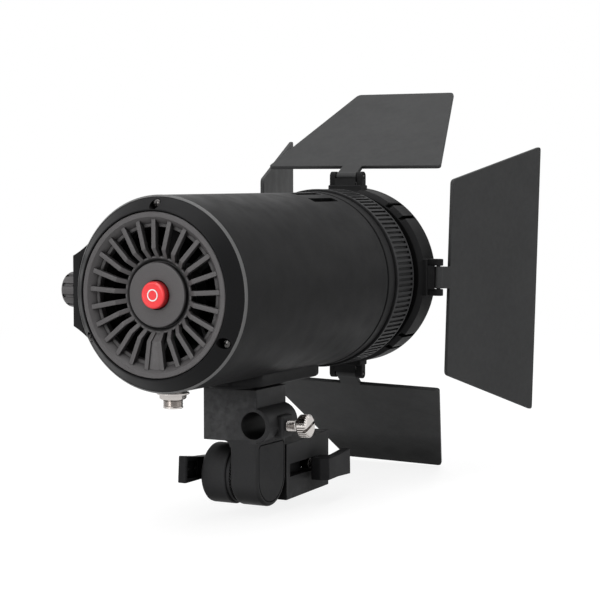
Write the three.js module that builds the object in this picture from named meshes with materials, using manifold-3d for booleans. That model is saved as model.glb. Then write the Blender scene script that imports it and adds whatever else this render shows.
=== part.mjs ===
// A hand-sized COB LED video light: a black barrel with a fan behind a ribbed rear grille, a focus
// ring, a turning ring with four barn doors, and a bracket that tilts on a stand adapter.
// Millimetres, +Z up. The origin is the centre of the stand socket's mouth. The beam leaves towards
// -Y, and "ahead" always means towards -Y. The light's own group starts at the rear edge of its
// barrel, on the optical axis; the adapter's group starts at the socket's mouth.

import * as THREE from "three";
import { mergeVertices } from "three/addons/utils/BufferGeometryUtils.js";
import Module from "manifold-3d";

const wasm = await Module();
wasm.setup();

// Clearances shared by all pieces.
const gap = 0.3; // between neighbours that seat or run on each other
const past = 1; // how far a cutter runs past the face that it cuts

// Facets round a full turn, by the size of what turns.
const rimFacets = 36;
const midFacets = 24;
const smallFacets = 12;
const holeFacets = 8;
const innerFacets = 16; // of what is sealed inside the barrel
const hexSides = 6;
const cornerSteps = 3;

// The tilt axis carries the light on the adapter.
const tilt = {
  behindMouth: 51.2, // behind the mouth of the stand socket
  belowSeat: 36.9, // under the bracket's seat on the saddle
  aheadOfRear: 64.4, // ahead of the barrel's rear edge
};

const barrel = { rearRadius: 37.5, flare: 0.4, wall: 2, length: 122.2 };
const frontRadius = barrel.rearRadius + barrel.flare;
const boreRadius = barrel.rearRadius - barrel.wall;
const insertRadius = boreRadius - gap;

const screw = { headRadius: 1.8, headHeight: 1.3, shankRadius: 1, inset: 3.5, length: 14 };
const screwCircle = barrel.rearRadius - screw.inset;
const boss = { radius: 2.4, length: 9 };

const bezel = {
  width: 5.9,
  standOut: 5.8,
  edge: 0.5,
  lip: 0.4,
  spigot: 4,
  pocketRadius: 2.1,
  pocketFloor: 1.2,
};
const bezelMouth = barrel.rearRadius - bezel.width;

const button = { radius: 5.85, standOut: 3, edge: 0.9, stemRadius: 2.5, stem: 3.4, travel: 1.5 };

const grille = {
  ringWidth: 2.2,
  edge: 0.4,
  slopeWidth: 2.1,
  slopeRise: 3.3,
  lipWidth: 1.4,
  lipRise: 2.8,
  ribs: 25,
  ribWidth: 1.9,
  ribDepth: 2.4,
  ribRise: 5,
  ribInset: 0.6,
  ribBend: 2.8,
  ribDrop: 3.3,
  panelDrop: 0.7,
  hubRadius: 14.7,
  hubWidth: 1.1,
  hubRise: 1.9,
  grooveRise: 0.4,
  discRadius: 12.4,
  discRise: 2.9,
  discEdge: 0.6,
  hubFloor: 2,
};
const grilleRadius = bezelMouth - gap;
const ringRadius = grilleRadius - grille.ringWidth;
const slopeRadius = ringRadius - grille.slopeWidth;
const slotRadius = slopeRadius - grille.lipWidth;
const ribTip = ringRadius - grille.ribInset;

const powerSwitch = { radius: 8, depth: 4.6, stemHole: 2.8 };

const fan = {
  rim: 4.8,
  start: 8.4,
  depth: 18,
  plateRadius: 12,
  plateDepth: 2.4,
  struts: 4,
  strutWidth: 3,
  hubRadius: 12,
  hubDepth: 9,
  blades: 7,
  bladeThickness: 1.2,
  bladePitch: 0.62,
  bladeDepth: 11.5,
  tipGap: 0.6,
  axleRadius: 1.5,
};
const fanRadius = screwCircle - boss.radius - gap;
const fanBore = fanRadius - fan.rim;
const fanEnd = fan.start + fan.depth;

const driver = { clear: 2.6, thickness: 1.6, holeRadius: 17, chokeRadius: 4.5, chokeHeight: 4 };
const driverStart = fanEnd + driver.clear;

const sink = {
  clear: 3.4,
  fromFront: 30.2,
  coreRadius: 11,
  fins: 18,
  finThickness: 1.6,
  baseDepth: 5,
};
const sinkStart = driverStart + driver.thickness + driver.chokeHeight + sink.clear;
const sinkEnd = barrel.length - sink.fromFront;

const cob = { side: 28, thickness: 1.6, emitterRadius: 9.5, emitterDepth: 0.8 };
const holder = { radius: 21, holeRadius: 10.4, wall: 2, depth: 4.5 };

const vent = { fromFront: 4.7, length: 22.5, width: 3.7 };
const ventAngles = [10, 23.2, -10, -23.2];

const tube = { wall: 2.2, plug: 4, step: 2.5, collarRise: 0.3, collar: 6.5, endGap: 0.5 };
const tubeRadius = barrel.rearRadius - tube.step;
const tubeBore = tubeRadius - tube.wall;
const collarRadius = frontRadius + tube.collarRise;
const collarStart = barrel.length + gap;
const collarEnd = collarStart + tube.collar;

const focus = { rise: 1, grooveDepth: 0.7, length: 17.2, band: 1.3, bandRise: 0.05, grooves: 72 };
const grooveShares = [0, 0.14, 0.28];
const focusStart = collarEnd + gap;
const focusEnd = focusStart + focus.length;

const lens = {
  holderWall: 2.2,
  edge: 3,
  bulge: 8,
  setback: 2,
  steps: 4,
  lip: 2,
  holderDepth: 9,
};
const lensRadius = tubeBore - 2 * gap - lens.holderWall;

const ring = {
  clear: 6.9,
  length: 16.1,
  rise: 4.85,
  rearDrop: 2.25,
  rearSlope: 3.4,
  edge: 0.8,
  lipWidth: 0.8,
  lipDepth: 2.4,
};
const ringOuter = tubeRadius + ring.rise;
const ringStart = focusEnd + ring.clear;
const ringEnd = ringStart + ring.length;
const lipStart = ringEnd - ring.lipDepth;
const tubeEnd = lipStart - tube.endGap;
const notch = { width: 1.2, depth: 1.4, length: 14.6, fromVertical: 42, halfSpan: 6.1 };

const hinge = {
  ahead: 6.9,
  rise: 5.15,
  lugRadius: 2.1,
  width: 16.4,
  lugWidth: 3,
  padHeight: 2.2,
  padReach: 1.6,
  pinRadius: 0.9,
  knuckleRadius: 1.9,
};
const hingeAhead = ringStart + hinge.ahead;
const hingeRadius = ringOuter + hinge.rise;

const leaf = {
  thickness: 1.8,
  rise: 1.75,
  inner: 6.3,
  outer: 75.3,
  innerWidth: 87.3,
  taperedWidth: 50.5,
  flaredWidth: 125.3,
  corner: 2,
};
const doors = [
  { side: "top", around: 0, splay: 31, outerWidth: leaf.taperedWidth, droop: 0 },
  { side: "right", around: 90, splay: 13.9, outerWidth: leaf.flaredWidth, droop: -2.6 },
  { side: "bottom", around: 180, splay: 39.2, outerWidth: leaf.taperedWidth, droop: -2.3 },
  { side: "left", around: 270, splay: 16.2, outerWidth: leaf.flaredWidth, droop: -0.4 },
];

const pod = {
  standOut: 4.4,
  halfHeight: 13.75,
  start: 3,
  length: 60,
  noseRun: 7,
  noseDrop: 4,
  wall: 2.2,
  floorDepth: 6.5,
  mergeAngle: 42,
  waistDrop: 1.9,
  waistHeight: 16.8,
  recessDepth: 1,
  rim: 3.2,
  recessHalfHeight: 12.3,
};
const podFace = barrel.rearRadius + pod.standOut;
const podFloor = boreRadius - pod.floorDepth;
const podRoot = barrel.rearRadius / 2;

const knob = {
  ahead: 12.2,
  radius: 7,
  height: 8,
  crown: 2.2,
  shaftRadius: 3,
  flutes: 10,
  fluteRadius: 0.55,
};
const modeButton = {
  ahead: 27,
  radius: 3.2,
  standOut: 0.9,
  edge: 0.4,
  flangeRadius: 4.2,
  travel: 0.8,
};
const display = { start: 35, length: 22, halfHeight: 8, thickness: 1.4 };
const board = { thickness: 1.6, setback: 2.4, encoderRadius: 5 };

const jack = {
  ahead: 8.5,
  radius: 3.9,
  standOut: 6.5,
  length: 12,
  socketRadius: 2.75,
  socketDepth: 9,
  pinRadius: 1,
};
const nut = { acrossCorners: 10.5, height: 1.9, washerRadius: 6.3, washerHeight: 0.8 };

const neck = {
  width: 24.9,
  depth: 24.8,
  shoulder: 15.2,
  fillet: 2.6,
};
const saddle = {
  height: 3.1,
  behindTilt: 19.8,
  fromFront: 5.2,
  halfWidth: 12.4,
  bowHalfWidth: 6,
  stern: 9,
  nose: 7,
};
const saddleFace = barrel.rearRadius + saddle.height;
const belowBeam = saddleFace + tilt.belowSeat;
const arm = { outer: -12.5, inner: 0.1 };
const armRadius = neck.depth / 2;
const armBolt = { radius: 3, headRadius: 5.5, headHeight: 3 };
const cover = { halfWidth: 10.6, rise: 13.5, bottomRadius: 10.4, depth: 1.4, corner: 1.2 };
const umbrella = {
  x: -10.8,
  aboveTilt: 22,
  holeRadius: 5.75,
  wall: 1.65,
  padReach: 20.3,
  padHeight: 9.3,
};
const thumb = {
  aboveTilt: 21,
  shankRadius: 2,
  shankShown: 5.6,
  headRadius: 4.7,
  headLength: 4.5,
  knurls: 20,
  knurlDepth: 0.4,
  slotWidth: 1.1,
  slotDepth: 1.6,
  slotTurn: 20,
  lean: 3.5,
};
const bracketScrew = { headRadius: 3.5, headHeight: 2.5, shankRadius: 2, depth: 12, spacing: 13 };

const block = { halfWidth: 12.5, clear: 4.6, halfHeight: 11.4, edge: 1 };
const blockLength = tilt.behindMouth - armRadius - block.clear;
const socket = { radius: 8.1, depth: 30 };
const ear = {
  inner: 2.5,
  outer: 14.3,
  toothRadius: 11,
  toothHole: 6.5,
  teeth: 16,
  toothShare: 0.5,
  bedRim: 0.4,
  seatRadius: 8.8,
  seatDepth: 3.5,
};
const band = { start: 2, length: 26, height: 5.5, depth: 0.7 };
const setScrew = { x: -6, fromBack: 6.6, headRadius: 2.75, headShown: 1.2, shankRadius: 1.6 };
const lever = {
  standOff: 3.2,
  standOut: 9.1,
  behindPivot: 3.1,
  chamfer: [3.3, 1.7],
  hub: 4.5,
  kink: 6.5,
  reach: 20,
  height: 9.4,
  offset: 1.8,
  thickness: 3.8,
  corner: 0.8,
  pocketRim: 1.1,
  pocketDepth: 2,
  shankRadius: 2.2,
};
const standLever = { behind: 16.9, z: 0.5 };
const tiltLeverRaised = 4;

// Finishes.
const finish = (color, roughness, metalness) =>
  new THREE.MeshStandardMaterial({ color, roughness, metalness });
const satinBlack = finish(0x2a2a2b, 0.5, 0.1);
const greyPlastic = finish(0x4a4747, 0.6, 0);
const blackPlastic = finish(0x1b1b1c, 0.55, 0);
const sheetBlack = finish(0x3b3c3d, 0.5, 0.3);
const redPlastic = finish(0xe5262c, 0.25, 0);
const nickel = finish(0xcfc8c2, 0.22, 1);
const blackNickel = finish(0x1c1b1b, 0.25, 0.9);
const castBlack = finish(0x1e1f1f, 0.55, 0.2);
const aluminium = finish(0xb4b6b8, 0.4, 1);
const boardGreen = finish(0x1d4a2b, 0.5, 0);
const phosphor = finish(0xe8c33a, 0.6, 0);
const glass = finish(0xdfe8ea, 0.05, 0);
const darkGlass = finish(0x0c0d10, 0.1, 0);

const degrees = THREE.MathUtils.degToRad;

// Closed geometry in and out of manifold-3d, which joins and cuts.
function solidOf(geometry) {
  const bare = new THREE.BufferGeometry();
  bare.setAttribute("position", geometry.getAttribute("position"));
  if (geometry.index) bare.setIndex(geometry.index);
  const merged = mergeVertices(bare);
  const corners = Array.from(merged.index.array);
  const triangles = [];
  for (let i = 0; i < corners.length; i += 3) {
    const [a, b, c] = corners.slice(i, i + 3);
    if (a !== b && b !== c && c !== a) triangles.push(a, b, c);
  }
  const made = (order) =>
    new wasm.Manifold(
      new wasm.Mesh({
        numProp: 3,
        vertProperties: merged.attributes.position.array,
        triVerts: Uint32Array.from(order),
      }),
    );
  const solid = made(triangles);
  return solid.volume() < 0 ? made(triangles.reverse()) : solid;
}

function geometryOf(solid) {
  const mesh = solid.getMesh();
  const geometry = new THREE.BufferGeometry();
  geometry.setAttribute("position", new THREE.BufferAttribute(mesh.vertProperties, 3));
  geometry.setIndex(new THREE.BufferAttribute(mesh.triVerts, 1));
  return geometry;
}

function combine(way, first, others) {
  let solid = solidOf(first);
  for (const other of others) solid = solid[way](solidOf(other));
  return geometryOf(solid);
}
const join = (first, ...others) => combine("add", first, others);
const cut = (first, ...others) => combine("subtract", first, others);
const common = (first, ...others) => combine("intersect", first, others);

function piece(group, name, geometry, material) {
  const shape = geometryOf(solidOf(geometry)).toNonIndexed();
  shape.computeVertexNormals();
  const mesh = new THREE.Mesh(shape, material);
  mesh.name = name;
  group.add(mesh);
  return mesh;
}

// A turned piece about the beam, from [radius, ahead] points. A profile off the axis is closed.
function revolve(points, facets = rimFacets) {
  const profile = points.map(([radius, ahead]) => new THREE.Vector2(radius, -ahead));
  if (points[0][0] > 0) profile.push(profile[0]);
  return new THREE.LatheGeometry(profile, facets);
}

function tubeOf(outer, inner, from, to, facets = rimFacets) {
  return revolve([[inner, from], [outer, from], [outer, to], [inner, to]], facets);
}

// Bars: along the beam, across it, and upright.
function rodAhead(radius, from, to, x = 0, z = 0, facets = smallFacets) {
  const rod = new THREE.CylinderGeometry(radius, radius, to - from, facets);
  return rod.translate(x, -(from + to) / 2, z);
}

function rodAcross(radius, x0, x1, ahead, z, facets = smallFacets) {
  const rod = new THREE.CylinderGeometry(radius, radius, x1 - x0, facets);
  return rod.rotateZ(Math.PI / 2).translate((x0 + x1) / 2, -ahead, z);
}

function rodUp(radius, z0, z1, x, ahead, facets = smallFacets) {
  const rod = new THREE.CylinderGeometry(radius, radius, z1 - z0, facets);
  return rod.rotateX(Math.PI / 2).translate(x, -ahead, (z0 + z1) / 2);
}

function brick([x0, x1], [near, far], [z0, z1]) {
  const box = new THREE.BoxGeometry(x1 - x0, far - near, z1 - z0);
  return box.translate((x0 + x1) / 2, -(near + far) / 2, (z0 + z1) / 2);
}

// An outline of [u, v] points whose corners are rounded by their own radius, or by one for all.
function outline(points, radii = 0) {
  const shape = new THREE.Shape();
  const corner = points.map(([u, v]) => new THREE.Vector2(u, v));
  corner.forEach((here, i) => {
    const back = corner.at(i - 1).clone().sub(here);
    const on = corner[(i + 1) % corner.length].clone().sub(here);
    const radius = Array.isArray(radii) ? radii[i] : radii;
    const start = here.clone().addScaledVector(back.normalize(), radius);
    const end = here.clone().addScaledVector(on.normalize(), radius);
    if (i === 0) shape.moveTo(start.x, start.y);
    else shape.lineTo(start.x, start.y);
    if (radius > 0) shape.quadraticCurveTo(here.x, here.y, end.x, end.y);
  });
  shape.closePath();
  return shape;
}

// Plates: extruded ahead from an (x, z) outline, across towards -X from an (ahead, z) outline,
// and down from an (x, ahead) outline.
const along = {
  ahead: new THREE.Matrix4().makeBasis(axis(1, 0, 0), axis(0, 0, 1), axis(0, -1, 0)),
  across: new THREE.Matrix4().makeBasis(axis(0, -1, 0), axis(0, 0, 1), axis(-1, 0, 0)),
  down: new THREE.Matrix4().makeBasis(axis(1, 0, 0), axis(0, -1, 0), axis(0, 0, -1)),
};

function axis(x, y, z) {
  return new THREE.Vector3(x, y, z);
}

function plate(way, shape, start, depth) {
  const raw = new THREE.ExtrudeGeometry(shape, {
    depth,
    bevelEnabled: false,
    curveSegments: cornerSteps,
  });
  return raw.translate(0, 0, way === "ahead" ? start : -start).applyMatrix4(along[way]);
}

// Turns a geometry about the beam, clockwise as seen from behind the light.
const aroundBeam = (geometry, angle) => geometry.rotateY(degrees(-angle));

// The barrel with its moulded control pod, vents, saddle and screw bosses.
const screwAngles = [0, 120, 240];
const bossStart = bezel.spigot + gap;

function podSection() {
  const merge = degrees(pod.mergeAngle);
  const x = barrel.rearRadius * Math.cos(merge);
  const z = barrel.rearRadius * Math.sin(merge);
  const shape = new THREE.Shape();
  shape.moveTo(podRoot, -z);
  shape.lineTo(x, -z);
  shape.quadraticCurveTo(barrel.rearRadius - pod.waistDrop, -pod.waistHeight, podFace, -pod.halfHeight);
  shape.lineTo(podFace, pod.halfHeight);
  shape.quadraticCurveTo(barrel.rearRadius - pod.waistDrop, pod.waistHeight, x, z);
  shape.lineTo(podRoot, z);
  shape.closePath();
  return shape;
}

function podBody() {
  const far = pod.start + pod.length;
  const plan = outline([
    [podRoot, pod.start],
    [podFace, pod.start],
    [podFace, far - pod.noseRun],
    [podFace - pod.noseDrop, far],
    [podRoot, far],
  ]);
  const section = plate("ahead", podSection(), pod.start - past, pod.length + 2 * past);
  return common(section, plate("down", plan, barrel.rearRadius, 2 * barrel.rearRadius));
}

const podCavityStart = bezel.spigot + 2 * gap;

function podCuts() {
  const far = pod.start + pod.length;
  const inside = [podFloor, podFace - pod.wall];
  const half = pod.halfHeight - pod.wall;
  const recess = outline(
    [
      [podFloor, -pod.recessHalfHeight],
      [podFace - pod.rim, -pod.recessHalfHeight],
      [podFace - pod.rim, pod.recessHalfHeight],
      [podFloor, pod.recessHalfHeight],
    ],
    [0, pod.rim, pod.rim, 0],
  );
  const windowSize = [display.start - gap, display.start + display.length + gap];
  const windowHalf = display.halfHeight + gap;
  return [
    brick(inside, [podCavityStart, far - pod.noseRun], [-half, half]),
    plate("ahead", recess, pod.start - past, pod.recessDepth + past),
    rodAcross(knob.shaftRadius + gap, podFloor, podFace + past, knob.ahead, 0),
    rodAcross(modeButton.radius + gap, podFloor, podFace + past, modeButton.ahead, 0),
    brick([podFace - display.thickness, podFace + past], windowSize, [-windowHalf, windowHalf]),
  ];
}

function saddleBody() {
  const start = tilt.aheadOfRear - saddle.behindTilt;
  const end = barrel.length - saddle.fromFront;
  const plan = outline([
    [-saddle.bowHalfWidth, start],
    [saddle.bowHalfWidth, start],
    [saddle.halfWidth, start + saddle.stern],
    [saddle.halfWidth, end - saddle.nose],
    [saddle.halfWidth - saddle.nose / 2, end],
    [-saddle.halfWidth + saddle.nose / 2, end],
    [-saddle.halfWidth, end - saddle.nose],
    [-saddle.halfWidth, start + saddle.stern],
  ]);
  return plate("down", plan, -bracketScrewTop, saddleFace - bracketScrewTop);
}

const bracketScrewTop = boreRadius - barrel.wall;
const bracketScrewAheads = [-1, 1].map(
  (side) => tilt.aheadOfRear + (side * bracketScrew.spacing) / 2,
);

function barrelHousing() {
  const shell = revolve([
    [boreRadius - 3 * gap, gap],
    [barrel.rearRadius, gap],
    [frontRadius, barrel.length],
    [boreRadius - 3 * gap, barrel.length],
  ]);
  const bosses = screwAngles.map((angle) => {
    const post = rodAhead(boss.radius, bossStart, bossStart + boss.length, 0, screwCircle);
    return aroundBeam(post, angle);
  });
  const holes = screwAngles.map((angle) => {
    const reach = [bossStart - past, bossStart + boss.length + past];
    const hole = rodAhead(screw.shankRadius + gap, ...reach, 0, screwCircle, holeFacets);
    return aroundBeam(hole, angle);
  });
  const bore = rodAhead(boreRadius, -past, barrel.length + past, 0, 0, rimFacets);
  const hollow = cut(join(shell, podBody(), saddleBody()), bore, ...podCuts());
  const vents = ventAngles.map((angle) => {
    const reach = [boreRadius - past, frontRadius + past];
    const end = barrel.length - vent.fromFront;
    const slot = brick([-vent.width / 2, vent.width / 2], [end - vent.length, end], reach);
    return aroundBeam(slot, angle);
  });
  const jackHole = rodUp(jack.radius + gap, -barrel.rearRadius - past, -past, 0, jack.ahead);
  const seats = bracketScrewAheads.flatMap((ahead) => {
    const top = -boreRadius - bracketScrew.headHeight - gap;
    return [
      rodUp(bracketScrew.headRadius + gap, top, -boreRadius + past, 0, ahead),
      rodUp(bracketScrew.shankRadius + gap, -saddleFace - past, -boreRadius, 0, ahead, holeFacets),
    ];
  });
  return cut(join(hollow, ...bosses), ...holes, ...vents, jackHole, ...seats);
}

// The rear bezel: a cone that holds the grille, with three screw pockets.
function rearBezel() {
  const turned = revolve([
    [bezelMouth, -bezel.standOut],
    [bezelMouth + bezel.lip, -bezel.standOut],
    [barrel.rearRadius - bezel.edge, -bezel.edge],
    [barrel.rearRadius, 0],
    [insertRadius, 0],
    [insertRadius, bezel.spigot],
    [bezelMouth, bezel.spigot],
  ]);
  const cuts = screwAngles.flatMap((angle) => {
    const place = [0, screwCircle];
    const pocket = rodAhead(bezel.pocketRadius, -bezel.standOut - past, -bezel.pocketFloor, ...place);
    const reach = [-bezel.standOut, bezel.spigot + past];
    const hole = rodAhead(screw.shankRadius + gap, ...reach, ...place, holeFacets);
    return [aroundBeam(pocket, angle), aroundBeam(hole, angle)];
  });
  return cut(turned, ...cuts);
}

function bezelScrew(angle) {
  const seat = -bezel.pocketFloor - gap;
  const place = [0, screwCircle];
  const head = rodAhead(screw.headRadius, seat - screw.headHeight, seat, ...place);
  const tip = seat - screw.headHeight + screw.length;
  const shank = rodAhead(screw.shankRadius, seat - screw.headHeight / 2, tip, ...place, holeFacets);
  return aroundBeam(join(head, shank), angle);
}

// The rear grille, one moulding: a ring, bent ribs that drop towards the hub, the hub's disc round
// the power button, and a flat panel that fills the lowest opening.
function grilleRib(width, rise, reach) {
  const ribBend = grille.hubRadius + grille.ribBend;
  const side = outline([
    [-rise, reach],
    [-rise, ribBend],
    [grille.ribDrop - rise, grille.hubRadius - grille.hubWidth],
    [grille.ribDrop + grille.ribDepth - rise, grille.hubRadius - grille.hubWidth],
    [grille.ribDepth - rise, ribBend],
    [grille.ribDepth - rise, reach],
  ]);
  return plate("across", side, width / 2, width);
}

function rearGrille() {
  const rim = revolve([
    [ringRadius, -bezel.standOut],
    [grilleRadius - grille.edge, -bezel.standOut],
    [grilleRadius, grille.edge - bezel.standOut],
    [grilleRadius, 0],
    [slotRadius, 0],
    [slotRadius, -grille.lipRise],
    [slopeRadius, -grille.lipRise],
    [slopeRadius, -grille.slopeRise],
  ]);
  const hub = revolve(
    [
      [button.radius + gap, grille.hubFloor],
      [grille.hubRadius, grille.hubFloor],
      [grille.hubRadius, -grille.hubRise],
      [grille.hubRadius - grille.hubWidth, -grille.hubRise],
      [grille.discRadius + gap, -grille.grooveRise],
      [grille.discRadius, grille.discEdge - grille.discRise],
      [grille.discRadius - grille.discEdge, -grille.discRise],
      [button.radius + gap, -grille.discRise],
    ],
    midFacets,
  );
  const pitch = 360 / grille.ribs;
  const ribs = Array.from({ length: grille.ribs }, (_, i) =>
    aroundBeam(grilleRib(grille.ribWidth, grille.ribRise, ribTip), i * pitch),
  );
  const half = Math.tan(degrees(pitch / 2));
  const wedge = outline([
    [-grille.hubRadius * half, -grille.hubRadius + grille.hubWidth],
    [grille.hubRadius * half, -grille.hubRadius + grille.hubWidth],
    [ribTip * half, -ribTip],
    [-ribTip * half, -ribTip],
  ]);
  const panelRise = grille.ribRise - grille.panelDrop;
  const panel = common(
    plate("ahead", wedge, -bezel.standOut, 2 * bezel.standOut),
    aroundBeam(grilleRib(ribTip, panelRise, ribTip), 180),
  );
  return join(rim, hub, ...ribs, panel);
}

function powerButton() {
  const rear = -grille.discRise - button.standOut;
  return revolve(
    [
      [0, rear],
      [button.radius - button.edge, rear],
      [button.radius, rear + button.edge],
      [button.radius, -button.travel],
      [button.stemRadius, -button.travel],
      [button.stemRadius, button.stem],
      [0, button.stem],
    ],
    midFacets,
  );
}

function switchBody() {
  const start = grille.hubFloor + gap;
  const body = rodAhead(powerSwitch.radius, start, start + powerSwitch.depth, 0, 0, innerFacets);
  const well = rodAhead(powerSwitch.stemHole, start - past, button.stem + button.travel + gap);
  return cut(body, well);
}

// The fan: a frame with a motor plate on struts, and the rotor that turns in it.
const plateStart = fanEnd - fan.plateDepth;

function fanFrame() {
  const shroud = tubeOf(fanRadius, fanBore, fan.start, fanEnd);
  const plateDisc = rodAhead(fan.plateRadius, plateStart, fanEnd, 0, 0, innerFacets);
  const struts = Array.from({ length: fan.struts }, (_, i) => {
    const width = [-fan.strutWidth / 2, fan.strutWidth / 2];
    const strut = brick(width, [plateStart, fanEnd], [0, (fanBore + fanRadius) / 2]);
    return aroundBeam(strut, (360 / fan.struts) * (i + 1 / 2));
  });
  const bearing = rodAhead(fan.axleRadius + gap, plateStart - past, fanEnd + past, 0, 0, holeFacets);
  return cut(join(shroud, plateDisc, ...struts), bearing);
}

function fanRotor() {
  const hubEnd = plateStart - 2 * gap;
  const hub = rodAhead(fan.hubRadius, hubEnd - fan.hubDepth, hubEnd, 0, 0, innerFacets);
  const axle = rodAhead(fan.axleRadius, hubEnd - past, fanEnd, 0, 0, holeFacets);
  const tip = fanBore - fan.tipGap;
  const half = fan.bladeDepth / 2;
  const lean = half * fan.bladePitch;
  const blades = Array.from({ length: fan.blades }, (_, i) => {
    const shape = new THREE.Shape();
    shape.moveTo(-lean, -half);
    shape.quadraticCurveTo(-lean / 2, half / 2, lean, half);
    shape.lineTo(lean + fan.bladeThickness, half);
    const middle = fan.bladeThickness - lean / 2;
    shape.quadraticCurveTo(middle, half / 2, fan.bladeThickness - lean, -half);
    shape.closePath();
    const blade = new THREE.ExtrudeGeometry(shape, {
      depth: tip - fan.hubRadius + past,
      bevelEnabled: false,
      curveSegments: cornerSteps,
    });
    blade.translate(0, half - hubEnd, fan.hubRadius - past);
    return aroundBeam(blade, (360 / fan.blades) * i);
  });
  const reach = rodAhead(tip, hubEnd - fan.bladeDepth - past, hubEnd, 0, 0, midFacets);
  return join(hub, axle, ...blades.map((blade) => common(blade, reach)));
}

// Behind the heat sink: the driver board, a disc that leaves the air its way.
function driverBoard() {
  const end = driverStart + driver.thickness;
  const disc = tubeOf(insertRadius, driver.holeRadius, driverStart, end, innerFacets);
  const middle = (insertRadius + driver.holeRadius) / 2;
  const chokeEnd = end + driver.chokeHeight;
  const chokes = [-1, 1].map((side) =>
    rodAhead(driver.chokeRadius, end - driver.thickness / 2, chokeEnd, side * middle, 0),
  );
  return join(disc, ...chokes);
}

function heatSink() {
  const shape = new THREE.Shape();
  const half = sink.finThickness / 2;
  for (let i = 0; i < sink.fins; i += 1) {
    const turn = (2 * Math.PI * i) / sink.fins;
    const corners = [
      [sink.coreRadius, -half],
      [insertRadius + past, -half],
      [insertRadius + past, half],
      [sink.coreRadius, half],
    ];
    corners.forEach(([out, side], k) => {
      const x = out * Math.cos(turn) - side * Math.sin(turn);
      const z = out * Math.sin(turn) + side * Math.cos(turn);
      if (i === 0 && k === 0) shape.moveTo(x, z);
      else shape.lineTo(x, z);
    });
  }
  shape.closePath();
  const fins = plate("ahead", shape, sinkStart, sinkEnd + sink.baseDepth / 2 - sinkStart);
  const base = rodAhead(insertRadius, sinkEnd, sinkEnd + sink.baseDepth, 0, 0, rimFacets);
  return common(join(fins, base), rodAhead(insertRadius, 0, barrel.length, 0, 0, rimFacets));
}

// The light source on the sink's base: the board, its emitter, and the holder that clamps it.
const cobStart = sinkEnd + sink.baseDepth + gap;
const cobFace = cobStart + cob.thickness;

function cobBoard() {
  const half = cob.side / 2;
  const slab = brick([-half, half], [cobStart, cobFace], [-half, half]);
  const wellFloor = cobFace - cob.thickness / 2;
  const well = rodAhead(cob.emitterRadius + gap, wellFloor, cobFace + past, 0, 0, innerFacets);
  return cut(slab, well);
}

function cobEmitter() {
  const start = cobFace - cob.thickness / 2 + gap;
  const end = start + cob.thickness / 2 + cob.emitterDepth;
  return rodAhead(cob.emitterRadius, start, end, 0, 0, innerFacets);
}

function cobHolder() {
  const start = sinkEnd + sink.baseDepth + gap;
  const end = cobFace + gap + holder.depth;
  return revolve(
    [
      [holder.holeRadius, cobFace + gap],
      [holder.radius, cobFace + gap],
      [holder.radius, start],
      [holder.radius + holder.wall, start],
      [holder.radius + holder.wall, end - holder.wall],
      [holder.radius, end],
      [holder.radius - holder.wall, end],
      [holder.holeRadius, cobFace + gap + holder.wall / 2],
    ],
    innerFacets,
  );
}

// The front tube: a plug in the barrel, the plain collar, and the sleeve that the rings turn on.
function frontTube() {
  return revolve([
    [tubeBore, collarStart - tube.plug],
    [insertRadius, collarStart - tube.plug],
    [insertRadius, collarStart],
    [collarRadius, collarStart],
    [collarRadius, collarEnd],
    [tubeRadius, collarEnd],
    [tubeRadius, tubeEnd],
    [tubeBore, tubeEnd],
  ]);
}

// The focus ring: lands and closed grooves between two plain bands.
function focusRing() {
  const shape = new THREE.Shape();
  const landRadius = collarRadius + focus.rise;
  const radii = [landRadius, landRadius - focus.grooveDepth, landRadius];
  for (let i = 0; i < focus.grooves; i += 1) {
    radii.forEach((radius, k) => {
      const turn = ((i + grooveShares[k]) * 2 * Math.PI) / focus.grooves;
      const [x, z] = [radius * Math.sin(turn), radius * Math.cos(turn)];
      if (i === 0 && k === 0) shape.moveTo(x, z);
      else shape.lineTo(x, z);
    });
  }
  shape.closePath();
  const ribStart = focusStart + focus.band / 2;
  const ribs = plate("ahead", shape, ribStart, focusEnd - focus.band / 2 - ribStart);
  const bandRadius = (landRadius + focus.bandRise) / Math.cos(Math.PI / rimFacets);
  const bands = [focusStart, focusEnd - focus.band].map((start) =>
    rodAhead(bandRadius, start, start + focus.band, 0, 0, rimFacets),
  );
  const bore = rodAhead(tubeRadius + gap, focusStart - past, focusEnd + past, 0, 0, rimFacets);
  return cut(join(ribs, ...bands), bore);
}

// The lens slides in its holder when the focus ring turns.
const lensStart = collarEnd + lens.setback;
const lensRear = lensStart + lens.lip;

function lensHolder() {
  return revolve(
    [
      [lensRadius - lens.lip, lensStart],
      [tubeBore - gap, lensStart],
      [tubeBore - gap, lensStart + lens.holderDepth],
      [lensRadius + gap, lensStart + lens.holderDepth],
      [lensRadius + gap, lensRear],
      [lensRadius - lens.lip, lensRear],
    ],
    midFacets,
  );
}

function lensGlass() {
  const rear = lensRear + gap;
  const dome = Array.from({ length: lens.steps + 1 }, (_, i) => {
    const turn = (Math.PI / 2) * (i / lens.steps);
    return [lensRadius * Math.cos(turn), rear + lens.edge + lens.bulge * Math.sin(turn)];
  });
  const top = [0, rear + lens.edge + lens.bulge];
  return revolve([[0, rear], [lensRadius, rear], ...dome.slice(0, -1), top], midFacets);
}

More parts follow.
